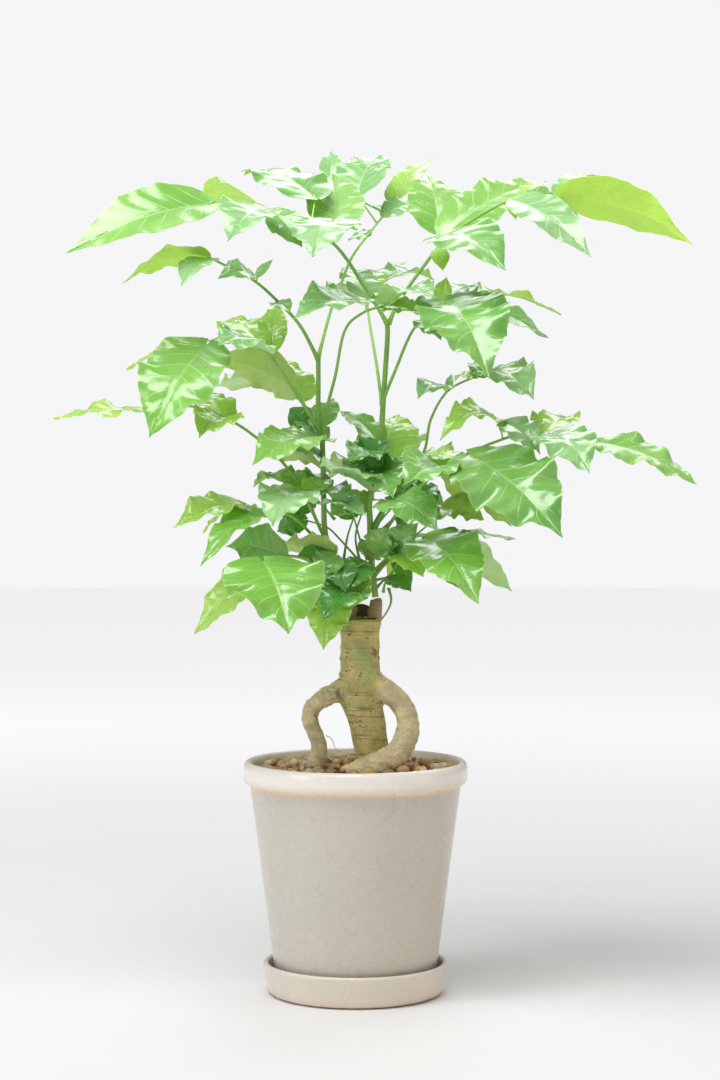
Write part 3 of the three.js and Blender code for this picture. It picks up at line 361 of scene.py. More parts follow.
class HeteropanaxGravelSettings(bpy.types.PropertyGroup):
    count: IntProperty(name="Pebbles", description="How many pebbles are tried", default=1500, min=10, max=5000)
    size: length("Pebble size", 0.0082, "Width of a middling pebble")
    tan: colour("Tan", (0.56, 0.36, 0.18), "Colour of most pebbles")
    pale: colour("Pale", (0.78, 0.61, 0.41), "Colour of the palest pebbles")
    brown: colour("Brown", (0.37, 0.225, 0.12), "Colour of the brown pebbles")
    red: colour("Dark red", (0.12, 0.045, 0.03), "Colour of the few dark pebbles")


class HeteropanaxPlantSettings(bpy.types.PropertyGroup):
    bark: colour("Bark", (0.55, 0.45, 0.17), "Colour of the trunk")
    root: colour("Root", (0.68, 0.55, 0.33), "Colour of the stilt roots")
    # The cut colour is partly the dark old wound and partly painted shade that stands in for the hollow in the cut
    # top.
    cut: colour("Cut", (0.075, 0.042, 0.025), "Colour of the old cut")
    stem: colour("Stem", (0.27, 0.50, 0.10), "Colour of the stems")
    blade_thickness: length("Blade thickness", 0.0004, "Thickness of a leaflet's blade")
    ruffle: FloatProperty(name="Ruffle", description="Height of the margin's waves over the blade's width",
                          default=0.075, min=0, max=0.3)
    tooth: FloatProperty(name="Teeth", description="Depth of the margin's teeth over the blade's width",
                         default=0.022, min=0, max=0.1)


class HeteropanaxStageSettings(bpy.types.PropertyGroup):
    lens: FloatProperty(name="Lens", description="Focal length of the camera", default=86.2, min=10, unit="CAMERA")
    height: length("Camera height", 0.408, "Height of the camera over the floor")
    distance: length("Camera distance", 1.953, "Distance from the camera to the pot's axis")
    key: FloatProperty(name="Key light", description="Power of the overhead softbox", default=17.5, min=0)
    fill: FloatProperty(name="Side light", description="Power of the side softbox", default=9, min=0)
    back: FloatProperty(name="Back light", description="Power of the softbox behind the plant", default=7, min=0)
    room: FloatProperty(name="Room light", description="Strength of the room's even light", default=0.34, min=0)


# ---- Making meshes ----
def deselect():
    if bpy.context.object and bpy.context.object.mode != "OBJECT":
        bpy.ops.object.mode_set(mode="OBJECT")
    bpy.ops.object.select_all(action="DESELECT")


def pick(obj):
    deselect()
    obj.select_set(True)
    bpy.context.view_layer.objects.active = obj
    return obj


def made(name):
    """Names the object an operator has just added."""
    obj = bpy.context.object
    obj.name = name
    obj.data.name = name
    return obj


def apply_modifier(obj, kind, **settings):
    pick(obj)
    modifier = obj.modifiers.new(kind.lower(), kind)
    for key, value in settings.items():
        setattr(modifier, key, value)
    bpy.ops.object.modifier_apply(modifier=modifier.name)


def settle(obj):
    """Puts an object's place, turn and size into its mesh."""
    pick(obj)
    bpy.ops.object.transform_apply(location=True, rotation=True, scale=True)
    return obj


def coordinates(obj):
    flat = np.empty(len(obj.data.vertices) * 3)
    obj.data.vertices.foreach_get("co", flat)
    return flat.reshape(-1, 3)


def set_coordinates(obj, points):
    obj.data.vertices.foreach_set("co", np.ascontiguousarray(points, dtype=np.float32).ravel())
    obj.data.update()


def finish_piece(obj, slot, *nodes):
    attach(obj, "root")
    if nodes:
        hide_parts(*nodes)
    return obj


def smooth(obj, angle=50):
    pick(obj)
    bpy.ops.object.shade_smooth_by_angle(angle=math.radians(angle))


def turned(name, profile, steps=96):
    """A round piece, extruded ring by ring from a circle; an open profile ends on the axis."""
    deselect()
    radius, height = profile[0]
    bpy.ops.mesh.primitive_circle_add(vertices=steps, radius=radius * MM, location=(0, 0, height * MM))
    obj = made(name)
    bpy.ops.object.mode_set(mode="EDIT")
    bpy.ops.mesh.select_all(action="SELECT")
    closed = profile[0] == profile[-1]
    if not closed:
        bpy.ops.mesh.extrude_region_move()
        bpy.ops.mesh.merge(type="CENTER")
        bpy.ops.mesh.select_all(action="DESELECT")
        bpy.ops.object.mode_set(mode="OBJECT")
        for vertex in obj.data.vertices:
            vertex.select = vertex.co.xy.length > radius * MM * 0.5
        bpy.ops.object.mode_set(mode="EDIT")
    for new_radius, new_height in profile[1:]:
        bpy.ops.mesh.extrude_region_move(TRANSFORM_OT_translate={"value": (0, 0, (new_height - height) * MM)})
        scale = new_radius / radius
        bpy.ops.transform.resize(value=(scale, scale, 1), center_override=(0, 0, new_height * MM))
        radius, height = new_radius, new_height
    if not closed:
        bpy.ops.mesh.extrude_region_move()
        bpy.ops.mesh.merge(type="CENTER")
    bpy.ops.mesh.select_all(action="SELECT")
    bpy.ops.mesh.remove_doubles(threshold=0.00001)
    bpy.ops.mesh.normals_make_consistent(inside=False)
    bpy.ops.object.mode_set(mode="OBJECT")
    return settle(obj)


def smooth_line(points, step):
    """Points about a step apart along a smooth curve through the given ones, each with its place from 0 to 1."""
    rows = np.array(points, dtype=float)
    padded = np.vstack([2 * rows[0] - rows[1], rows, 2 * rows[-1] - rows[-2]])
    found = []
    for i in range(1, len(padded) - 2):
        p0, p1, p2, p3 = padded[i - 1:i + 3]
        count = max(2, int(np.linalg.norm((p2 - p1)[:3]) / step))
        for k in range(count):
            t = k / count
            found.append(0.5 * (2 * p1 + (p2 - p0) * t + (2 * p0 - 5 * p1 + 4 * p2 - p3) * t * t
                                + (3 * p1 - p0 - 3 * p2 + p3) * t ** 3))
    found.append(rows[-1])
    return np.array(found)


def bar(name, line, radii, sides=5):
    """A round bar along a line of points in millimetres, from a bevelled curve made into a mesh."""
    deselect()
    bpy.ops.curve.primitive_bezier_curve_add()
    obj = made(name)
    curve = obj.data
    curve.splines.clear()
    curve.dimensions = "3D"
    curve.bevel_depth = MM
    curve.bevel_resolution = sides
    curve.use_fill_caps = True
    spline = curve.splines.new("POLY")
    spline.points.add(len(line) - 1)
    for point, place, radius in zip(spline.points, line, radii):
        point.co = (place[0] * MM, place[1] * MM, place[2] * MM, 1)
        point.radius = radius
    bpy.ops.object.convert(target="MESH")
    obj = bpy.context.object
    bpy.ops.object.mode_set(mode="EDIT")
    bpy.ops.mesh.select_all(action="SELECT")
    bpy.ops.mesh.remove_doubles(threshold=0.000001)
    bpy.ops.mesh.normals_make_consistent(inside=False)
    bpy.ops.object.mode_set(mode="OBJECT")
    return settle(obj)


def joined(name, objects):
    pick(objects[0])
    for obj in objects[1:]:
        obj.select_set(True)
    bpy.ops.object.join()
    return made(name)


# ---- Making materials ----
class Nodes:
    """Adds nodes to a tree and joins them: an input is a socket or a plain value."""

    def __init__(self, tree):
        self.tree = tree

    def add(self, kind, inputs=(), output=0, **settings):
        node = self.tree.nodes.new(kind)
        for key, value in settings.items():
            setattr(node, key, value)
        for key, value in dict(inputs).items():
            self.put(node.inputs[key], value)
        return node.outputs[output] if output is not None else node

    def put(self, socket, value):
        if isinstance(value, bpy.types.NodeSocket):
            self.tree.links.new(value, socket)
        elif hasattr(socket.default_value, "__len__") and len(socket.default_value) == 4 and len(value) == 3:
            socket.default_value = (*value, 1)
        else:
            socket.default_value = value

    def math(self, operation, a, b=0.5, clamp=False):
        return self.add("ShaderNodeMath", {0: a, 1: b}, operation=operation, use_clamp=clamp)

    def ramp(self, value, low, high, out_low=0.0, out_high=1.0):
        return self.add("ShaderNodeMapRange", {"Value": value, "From Min": low, "From Max": high,
                                               "To Min": out_low, "To Max": out_high},
                        interpolation_type="SMOOTHSTEP")

    def mix(self, factor, a, b, blend="MIX"):
        node = self.add("ShaderNodeMix", output=None, data_type="RGBA", blend_type=blend)
        self.put(node.inputs[0], factor)
        self.put(node.inputs[6], a)
        self.put(node.inputs[7], b)
        return node.outputs[2]

    def noise(self, vector, scale, detail=3.0, roughness=0.5, distortion=0.0, output=0):
        return self.add("ShaderNodeTexNoise", {"Vector": vector, "Scale": scale, "Detail": detail,
                                               "Roughness": roughness, "Distortion": distortion}, output)

    def stretched(self, vector, scale):
        return self.add("ShaderNodeMapping", {"Vector": vector, "Scale": scale})

    def group(self, tree, inputs=()):
        node = self.tree.nodes.new("ShaderNodeGroup")
        node.node_tree = tree
        for key, value in dict(inputs).items():
            self.put(node.inputs[key], value)
        return node.outputs


def effect(name, inputs, outputs):
    """An empty shader node group with float or vector inputs and float or colour outputs."""
    tree = bpy.data.node_groups.new(name, "ShaderNodeTree")
    for label, kind, default in inputs:
        socket = tree.interface.new_socket(label, in_out="INPUT", socket_type=kind)
        if default is not None:
            socket.default_value = default
    for label, kind in outputs:
        tree.interface.new_socket(label, in_out="OUTPUT", socket_type=kind)
    return tree, tree.nodes.new("NodeGroupInput").outputs, tree.nodes.new("NodeGroupOutput").inputs


def material(name, roughness=0.5, **constants):
    mat = bpy.data.materials.new(name)
    mat.use_nodes = True
    shader = mat.node_tree.nodes["Principled BSDF"]
    shader.inputs["Roughness"].default_value = roughness
    for key, value in constants.items():
        shader.inputs[key.replace("_", " ")].default_value = value
    return mat, Nodes(mat.node_tree), shader.inputs


def object_place(nodes):
    return nodes.add("ShaderNodeTexCoord", output="Object")


def bump(nodes, inputs, height, strength, distance):
    nodes.put(inputs["Normal"], nodes.add("ShaderNodeBump", {"Height": height, "Strength": strength,
                                                             "Distance": distance}))


def mottle_effect():
    """Uneven tone: a factor about 1 that drifts in large soft patches and fine grain."""
    name = "uneven_tone"
    if name in bpy.data.node_groups:
        return bpy.data.node_groups[name]
    tree, given, out = effect(name, [("Place", "NodeSocketVector", None), ("Patch", "NodeSocketFloat", 30.0),
                                     ("Grain", "NodeSocketFloat", 300.0), ("Amount", "NodeSocketFloat", 0.2)],
                              [("Tone", "NodeSocketColor"), ("Patches", "NodeSocketFloat"),
                               ("Grains", "NodeSocketFloat")])
    nodes = Nodes(tree)
    patches = nodes.noise(given["Place"], given["Patch"], detail=4)
    grains = nodes.noise(given["Place"], given["Grain"], detail=2)
    both = nodes.math("ADD", nodes.math("MULTIPLY", patches, 0.7), nodes.math("MULTIPLY", grains, 0.3))
    drift = nodes.math("MULTIPLY", nodes.math("SUBTRACT", both, 0.5), nodes.math("MULTIPLY", given["Amount"], 3.0))
    level = nodes.math("ADD", drift, 1.0)
    nodes.put(out["Tone"], nodes.add("ShaderNodeCombineColor", {0: level, 1: level, 2: level}))
    nodes.put(out["Patches"], patches)
    nodes.put(out["Grains"], grains)
    return tree


def crackle_effect():
    """Fine crackle lines of a glaze at two sizes."""
    name = "crackle_lines"
    if name in bpy.data.node_groups:
        return bpy.data.node_groups[name]
    tree, given, out = effect(name, [("Place", "NodeSocketVector", None), ("Cell", "NodeSocketFloat", 0.011)],
                              [("Lines", "NodeSocketFloat")])
    nodes = Nodes(tree)
    wander = nodes.noise(given["Place"], 60.0, detail=2, output=1)
    moved = nodes.add("ShaderNodeVectorMath", {0: wander, 1: (0.006, 0.006, 0.006)}, operation="MULTIPLY")
    place = nodes.add("ShaderNodeVectorMath", {0: given["Place"], 1: moved}, operation="ADD")
    scale = nodes.math("DIVIDE", 1.0, given["Cell"])
    wide = nodes.add("ShaderNodeTexVoronoi", {"Vector": place, "Scale": scale}, feature="DISTANCE_TO_EDGE")
    fine = nodes.add("ShaderNodeTexVoronoi", {"Vector": place, "Scale": nodes.math("MULTIPLY", scale, 2.3)},
                     feature="DISTANCE_TO_EDGE")
    here = nodes.ramp(nodes.noise(given["Place"], 14.0, detail=0), 0.25, 0.8)
    first = nodes.ramp(wide, 0.0, 0.05, 1.0, 0.0)
    second = nodes.math("MULTIPLY", nodes.ramp(fine, 0.0, 0.07, 0.5, 0.0), here)
    nodes.put(out["Lines"], nodes.math("MAXIMUM", first, second))
    return tree


def vein_effect():
    """Masks of a leaflet's midrib, side veins and net from its UV map: U runs along it and V across it."""
    name = "leaf_veins"
    if name in bpy.data.node_groups:
        return bpy.data.node_groups[name]
    tree, given, out = effect(name, [("UV", "NodeSocketVector", None), ("Pairs", "NodeSocketFloat", 7.0)],
                              [("Midrib", "NodeSocketFloat"), ("Veins", "NodeSocketFloat"),
                               ("Net", "NodeSocketFloat"), ("Edge", "NodeSocketFloat")])
    nodes = Nodes(tree)
    parts = nodes.add("ShaderNodeSeparateXYZ", {0: given["UV"]}, output=None)
    along, across = parts.outputs[0], parts.outputs[1]
    out_from_midrib = nodes.math("MULTIPLY", nodes.math("ABSOLUTE", nodes.math("SUBTRACT", across, 0.5)), 2.0)
    rib_width = nodes.ramp(along, 0.0, 1.0, 0.060, 0.035)
    midrib = nodes.math("SUBTRACT", 1.0, nodes.math("DIVIDE", out_from_midrib, rib_width), clamp=True)
    swept = nodes.math("SUBTRACT", along, nodes.math("MULTIPLY", nodes.math("POWER", out_from_midrib, 0.85), 0.19))
    turn = nodes.math("FRACT", nodes.math("MULTIPLY", swept, given["Pairs"]))
    near = nodes.math("MULTIPLY", nodes.math("ABSOLUTE", nodes.math("SUBTRACT", turn, 0.5)), 2.0)
    fade = nodes.ramp(out_from_midrib, 0.45, 0.98, 1.0, 0.15)
    veins = nodes.math("MULTIPLY", nodes.ramp(near, 0.86, 0.98), fade)
    net_place = nodes.stretched(given["UV"], (26.0, 15.0, 1.0))
    net = nodes.add("ShaderNodeTexVoronoi", {"Vector": net_place, "Scale": 1.0, "Randomness": 0.9},
                    feature="DISTANCE_TO_EDGE", voronoi_dimensions="2D")
    nodes.put(out["Midrib"], midrib)
    nodes.put(out["Veins"], veins)
    nodes.put(out["Net"], nodes.ramp(net, 0.0, 0.09, 1.0, 0.0))
    nodes.put(out["Edge"], nodes.ramp(out_from_midrib, 0.93, 1.0))
    return tree


def glaze(name, body, rim, edge, cell, is_pot):
    """Glossy crackle glaze, warm where it thins at a lip or a foot and cooler where it pools at the foot; on the pot
    the warm colour also paints a soft shadow along the foot of the rim band.
    """
    mat, nodes, inputs = material(name, roughness=0.22, Coat_Weight=0.35, Coat_Roughness=0.08)
    place = object_place(nodes)
    up = nodes.add("ShaderNodeSeparateXYZ", {0: place}, output=2)
    uneven = nodes.group(mottle_effect(), {"Place": place, "Patch": 16.0, "Grain": 260.0, "Amount": 0.05})
    waver = nodes.math("MULTIPLY", nodes.math("SUBTRACT", uneven["Patches"], 0.5), 0.004)
    level = nodes.math("ADD", up, waver)
    base = nodes.mix(1.0, body, uneven["Tone"], "MULTIPLY")
    if is_pot:
        pooled = nodes.ramp(level, 0.014, 0.034, 1.0, 0.0)
        base = nodes.mix(nodes.math("MULTIPLY", pooled, 0.55), base, (0.40, 0.46, 0.50))
        warm_patch = nodes.ramp(nodes.noise(place, 9.0, detail=0), 0.35, 0.75, 0.0, 0.30)
        base = nodes.mix(warm_patch, base, (0.70, 0.60, 0.46))
        base = nodes.mix(nodes.ramp(level, 0.1565, 0.1600), base, rim)
        # Painted shade: a soft warm shadow with a peach glow, painted along the foot of the rim band.
        line = nodes.math("MULTIPLY", nodes.ramp(level, 0.1545, 0.1575), nodes.ramp(level, 0.1590, 0.1665, 1.0, 0.0))
        base = nodes.mix(nodes.math("MULTIPLY", line, 0.55), base, edge)
        top = nodes.ramp(level, 0.1742, 0.1760, 0.0, 0.16)
        base = nodes.mix(top, base, edge)
    else:
        base = nodes.mix(nodes.ramp(level, 0.0222, 0.0238, 0.0, 0.45), base, rim)
        base = nodes.mix(nodes.ramp(level, 0.0005, 0.005, 0.35, 0.0), base, edge)
    lines = nodes.group(crackle_effect(), {"Place": place, "Cell": cell})["Lines"]
    lines = nodes.math("MULTIPLY", lines, nodes.ramp(up, 0.1560, 0.1600, 1.0, 0.35))
    base = nodes.mix(nodes.math("MULTIPLY", lines, 0.22 if is_pot else 0.08), base, (0.36, 0.31, 0.22))
    nodes.put(inputs["Base Color"], base)
    nodes.put(inputs["Roughness"], nodes.ramp(uneven["Patches"], 0.3, 0.7, 0.26, 0.30))
    ripple = nodes.noise(place, 30.0, detail=1)
    bump(nodes, inputs, ripple, 0.04, 0.0005)
    return mat


def pebble_material(name, tint):
    mat, nodes, inputs = material(name, roughness=0.88)
    place = object_place(nodes)
    uneven = nodes.group(mottle_effect(), {"Place": place, "Patch": 160.0, "Grain": 1200.0, "Amount": 0.45})
    pits = nodes.ramp(nodes.noise(place, 900.0, detail=2), 0.62, 0.72)
    base = nodes.mix(1.0, tint, uneven["Tone"], "MULTIPLY")
    base = nodes.mix(nodes.math("MULTIPLY", pits, 0.5), base, tuple(0.35 * c for c in tint))
    nodes.put(inputs["Base Color"], base)
    bump(nodes, inputs, nodes.math("SUBTRACT", uneven["Grains"], nodes.math("MULTIPLY", pits, 0.6)), 0.7, 0.0007)
    return mat


def soil_material(name):
    mat, nodes, inputs = material(name, roughness=0.96)
    place = object_place(nodes)
    uneven = nodes.group(mottle_effect(), {"Place": place, "Patch": 180.0, "Grain": 1500.0, "Amount": 0.6})
    crumbs = nodes.add("ShaderNodeTexVoronoi", {"Vector": place, "Scale": 420.0})
    fibres = nodes.ramp(nodes.noise(nodes.stretched(place, (300, 900, 300)), 1.0), 0.66, 0.7)
    base = nodes.mix(1.0, (0.075, 0.048, 0.03), uneven["Tone"], "MULTIPLY")
    nodes.put(inputs["Base Color"], nodes.mix(nodes.math("MULTIPLY", fibres, 0.6), base, (0.22, 0.14, 0.07)))
    bump(nodes, inputs, crumbs, 0.9, 0.002)
    return mat


def bark_material(name, bark, root):
    """Green-brown bark with dark lenticels, faint rings and tanner roots; the attribute rootness says where."""
    mat, nodes, inputs = material(name, roughness=0.78)
    place = object_place(nodes)
    rootness = nodes.add("ShaderNodeAttribute", output="Fac", attribute_name="rootness")
    uneven = nodes.group(mottle_effect(), {"Place": place, "Patch": 90.0, "Grain": 700.0, "Amount": 0.6})
    rings = nodes.noise(nodes.stretched(place, (25, 25, 420)), 1.0, detail=3)
    base = nodes.mix(rootness, bark, root)
    moss = nodes.ramp(nodes.noise(place, 48.0, detail=3, distortion=0.6), 0.42, 0.66, 0.0, 0.75)
    moss = nodes.math("MULTIPLY", moss, nodes.ramp(rootness, 0.0, 1.0, 1.0, 0.35))
    base = nodes.mix(moss, base, (0.36, 0.46, 0.15))
    pale = nodes.ramp(nodes.noise(place, 85.0, detail=4, distortion=0.4), 0.55, 0.72, 0.0, 0.6)
    base = nodes.mix(pale, base, (0.74, 0.66, 0.42))
    base = nodes.mix(1.0, base, uneven["Tone"], "MULTIPLY")
    ringed = nodes.math("MULTIPLY", nodes.ramp(rings, 0.56, 0.66, 0.0, 0.6), nodes.ramp(rootness, 0.1, 0.8, 1.0, 0.12))
    base = nodes.mix(ringed, base, (0.17, 0.12, 0.06))
    spots = nodes.add("ShaderNodeTexVoronoi", {"Vector": nodes.stretched(place, (1, 1, 1.7)), "Scale": 230.0})
    specks = nodes.math("MULTIPLY", nodes.ramp(spots, 0.16, 0.30, 1.0, 0.0),
                        nodes.ramp(nodes.noise(place, 75.0, detail=3), 0.52, 0.60))
    specks = nodes.math("MULTIPLY", specks, nodes.ramp(rootness, 0.0, 1.0, 0.8, 0.3))
    base = nodes.mix(specks, base, (0.07, 0.045, 0.025))
    scuff = nodes.ramp(nodes.noise(place, 34.0, detail=5, distortion=1.2), 0.60, 0.68, 0.0, 0.8)
    base = nodes.mix(scuff, base, (0.15, 0.095, 0.05))
    nodes.put(inputs["Base Color"], base)
    nodes.put(inputs["Roughness"], nodes.ramp(uneven["Patches"], 0.3, 0.7, 0.62, 0.86))
    height = nodes.math("ADD", nodes.math("MULTIPLY", rings, 0.5), nodes.math("MULTIPLY", uneven["Grains"], 0.5))
    bump(nodes, inputs, nodes.math("SUBTRACT", height, nodes.math("MULTIPLY", specks, 0.5)), 0.9, 0.0022)
    return mat


def shoot_material(name, tint):
    """Brown young wood, ringed with old leaf scars."""
    mat, nodes, inputs = material(name, roughness=0.72)
    place = object_place(nodes)
    uneven = nodes.group(mottle_effect(), {"Place": place, "Patch": 90.0, "Grain": 1100.0, "Amount": 0.45})
    rings = nodes.noise(nodes.stretched(place, (40, 40, 700)), 1.0, detail=2)
    base = nodes.mix(1.0, tint, uneven["Tone"], "MULTIPLY")
    base = nodes.mix(nodes.ramp(rings, 0.52, 0.66, 0.0, 0.6), base, tuple(0.4 * c for c in tint))
    nodes.put(inputs["Base Color"], base)
    bump(nodes, inputs, nodes.math("ADD", rings, uneven["Grains"]), 0.6, 0.001)
    return mat


def stem_material(name, tint):
    mat, nodes, inputs = material(name, roughness=0.42, Subsurface_Weight=0.08, Subsurface_Scale=0.001)
    place = object_place(nodes)
    uneven = nodes.group(mottle_effect(), {"Place": place, "Patch": 60.0, "Grain": 700.0, "Amount": 0.28})
    streaks = nodes.noise(nodes.stretched(place, (900, 900, 40)), 1.0, detail=2)
    base = nodes.mix(1.0, tint, uneven["Tone"], "MULTIPLY")
    base = nodes.mix(nodes.ramp(streaks, 0.55, 0.72, 0.0, 0.4), base, (0.42, 0.60, 0.18))
    low = nodes.ramp(nodes.add("ShaderNodeSeparateXYZ", {0: place}, output=2), 0.305, 0.36, 0.5, 0.0)
    base = nodes.mix(low, base, (0.24, 0.27, 0.08))
    nodes.put(inputs["Base Color"], base)
    bump(nodes, inputs, streaks, 0.25, 0.0005)
    return mat


# tone: upper side, veins on it, underside
TONES = {
    # The lime underside is partly its own pale green and partly painted light: it is brightened to look lit through
    # the leaf from above.
    "lime": ((0.33, 0.62, 0.07), (0.52, 0.80, 0.20), (0.52, 0.88, 0.12)),
    "fresh": ((0.19, 0.47, 0.065), (0.44, 0.72, 0.24), (0.38, 0.64, 0.13)),
    "mid": ((0.125, 0.37, 0.055), (0.36, 0.62, 0.21), (0.33, 0.57, 0.13)),
    "dark": ((0.06, 0.27, 0.03), (0.17, 0.44, 0.10), (0.24, 0.46, 0.09)),
    # The pale mint tone is painted sheen: a paler green that stands in for the white reflection off the waxy leaves.
    "painted_sheen": ((0.235, 0.50, 0.165), (0.50, 0.74, 0.42), (0.42, 0.66, 0.28)),
    "olive": ((0.25, 0.42, 0.07), (0.38, 0.56, 0.16), (0.36, 0.52, 0.12)),
}


def blade_material(name, tint, vein_tint, under):
    """A leaflet's skin: waxy and veined above, paler and duller below."""
    mat, nodes, inputs = material(name, Subsurface_Weight=0.22, Subsurface_Scale=0.003,
                                  Subsurface_Radius=(0.7, 1.0, 0.25), Coat_Weight=0.1 if under else 0.75,
                                  Coat_Roughness=0.3 if under else 0.19, Coat_IOR=1.5 if under else 1.58)
    place = object_place(nodes)
    uv = nodes.add("ShaderNodeTexCoord", output="UV")
    veins = nodes.group(vein_effect(), {"UV": uv, "Pairs": 7.0})
    uneven = nodes.group(mottle_effect(), {"Place": place, "Patch": 26.0, "Grain": 420.0, "Amount": 0.2})
    base = nodes.mix(1.0, tint, uneven["Tone"], "MULTIPLY")
    drift = nodes.ramp(nodes.noise(place, 14.0, detail=1), 0.38, 0.66, 0.0, 0.35)
    base = nodes.mix(drift, base, vein_tint)
    base = nodes.mix(nodes.math("MULTIPLY", veins["Net"], 0.10 if under else 0.07), base, vein_tint)
    base = nodes.mix(nodes.math("MULTIPLY", veins["Veins"], 0.75), base, vein_tint)
    base = nodes.mix(nodes.math("MULTIPLY", veins["Midrib"], 0.85), base, vein_tint)
    base = nodes.mix(nodes.math("MULTIPLY", veins["Edge"], 0.25), base, vein_tint)
    nodes.put(inputs["Base Color"], base)
    rough = (0.46, 0.60) if under else (0.20, 0.36)
    nodes.put(inputs["Roughness"], nodes.ramp(uneven["Patches"], 0.3, 0.7, *rough))
    ridges = nodes.math("ADD", nodes.math("MULTIPLY", veins["Veins"], 0.8), veins["Midrib"])
    ridges = nodes.math("ADD", ridges, nodes.math("MULTIPLY", veins["Net"], 0.10))
    height = nodes.math("ADD", nodes.math("MULTIPLY", ridges, 1.0 if under else -1.0),
                        nodes.math("MULTIPLY", nodes.noise(place, 110.0, detail=1), 1.6))
    bump(nodes, inputs, height, 0.5, 0.0007)
    return mat


# ---- Saucer, pot and filling ----
class HETEROPANAX_OT_saucer(bpy.types.Operator):
    """Turns the saucer from its profile and glazes it"""
    bl_idname = "heteropanax.saucer"
    bl_label = "Saucer"

    def execute(self, context):
        look = context.scene.heteropanax_pot
        obj = turned("saucer_glazed", SAUCER_PROFILE)
        smooth(obj, 60)
        obj.data.materials.append(glaze("saucer_glaze", tuple(look.saucer), (0.84, 0.80, 0.75), tuple(look.edge),
                                        look.crackle, False))
        finish_piece(obj, "saucer_glaze", "saucer")
        return {"FINISHED"}


class HETEROPANAX_OT_pot(bpy.types.Operator):
    """Turns the pot with its rolled rim band and drain hole, and glazes it"""
    bl_idname = "heteropanax.pot"
    bl_label = "Pot"

    def execute(self, context):
        look = context.scene.heteropanax_pot
        obj = turned("pot_glazed", POT_PROFILE, 128)
        smooth(obj, 60)
        obj.data.materials.append(glaze("crackle_glaze", tuple(look.glaze), tuple(look.rim), tuple(look.edge),
                                        look.crackle, True))
        finish_piece(obj, "crackle_glaze", "pot")
        return {"FINISHED"}


class HETEROPANAX_OT_filling(bpy.types.Operator):
    """Gives the soil its look and lays the pebbles of the top dressing over it"""
    bl_idname = "heteropanax.filling"
    bl_label = "Soil and Gravel"

    def execute(self, context):
        look = context.scene.heteropanax_gravel
        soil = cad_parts["potting_soil"]
        soil.data.materials.clear()
        soil.data.materials.append(soil_material("potting_mix"))
        tints = [look.tan, look.pale, look.brown, look.red]
        random.seed(11)
        deselect()
        bpy.ops.mesh.primitive_ico_sphere_add(subdivisions=2, radius=0.5)
        stone = made("pebble")
        ball = coordinates(stone)
        faces = [tuple(p.vertices) for p in stone.data.polygons]
        bpy.data.objects.remove(stone)
        placed, points, quads, slots = [], [], [], []
        wood = np.vstack([smooth_line(rows, 3) for rows in (TRUNK, LEFT_ROOT, RIGHT_ROOT)])
        for _ in range(look.count):
            radius = GRAVEL_TRIED * math.sqrt(random.random())
            angle = random.uniform(0, 2 * math.pi)
            size = look.size / MM * random.choice(PEBBLE_SIZES)
            x, y = radius * math.cos(angle), radius * math.sin(angle)
            if radius + size * 0.5 > GRAVEL_REACH:
                continue
            mound = (GRAVEL_TOP - 2.4 * (radius / GRAVEL_TRIED) ** 2
                     + 1.2 * math.sin(x * 0.11) * math.cos(y * 0.13))
            z = mound - size * 0.30
            near = [p for p in placed if (p[0] - x) ** 2 + (p[1] - y) ** 2 < (0.43 * (p[3] + size)) ** 2]
            if len(near) > 1:
                continue
            if near:
                z = mound - size * 0.5 - 2.2
            if np.min(np.linalg.norm(wood[:, :3] - (x, y, z), axis=1) - wood[:, 3]) < size * 0.36:
                continue
            placed.append((x, y, z, size))
            stretch = Vector((random.uniform(0.8, 1.25), random.uniform(0.8, 1.2), random.uniform(0.62, 0.9)))
            turn = random.uniform(0, 2 * math.pi)
            cut = np.array([random.uniform(-1, 1) for _ in range(9)]).reshape(3, 3)
            form = ball * (1 + 0.16 * np.sin(ball @ cut.T * 5.2).sum(axis=1, keepdims=True) / 1.6)
            form = form * np.array(stretch) * size
            c, s = math.cos(turn), math.sin(turn)
            tilt = random.uniform(-0.5, 0.5)
            form = form @ np.array([[c, s, 0], [-s, c, 0], [0, 0, 1]])
            form = form @ np.array([[1, 0, 0], [0, math.cos(tilt), math.sin(tilt)],
                                    [0, -math.sin(tilt), math.cos(tilt)]])
            start = len(points) * len(ball)
            points.append(form + (x, y, z))
            quads += [tuple(i + start for i in face) for face in faces]
            slots += [random.choices(range(4), PEBBLE_SHARES)[0]] * len(faces)
        mesh = bpy.data.meshes.new("gravel_pebbles")
        mesh.from_pydata((np.vstack(points) * MM).tolist(), [], quads)
        gravel = bpy.data.objects.new("gravel_pebbles", mesh)
        bpy.context.collection.objects.link(gravel)
        for tint, label in zip(tints, ("tan", "pale", "brown", "dark_red")):
            mesh.materials.append(pebble_material(f"gravel_{label}", tuple(tint)))
        mesh.polygons.foreach_set("material_index", slots)
        smooth(gravel, 70)
        finish_piece(gravel, "akadama_gravel", "gravel_topdressing")
        return {"FINISHED"}


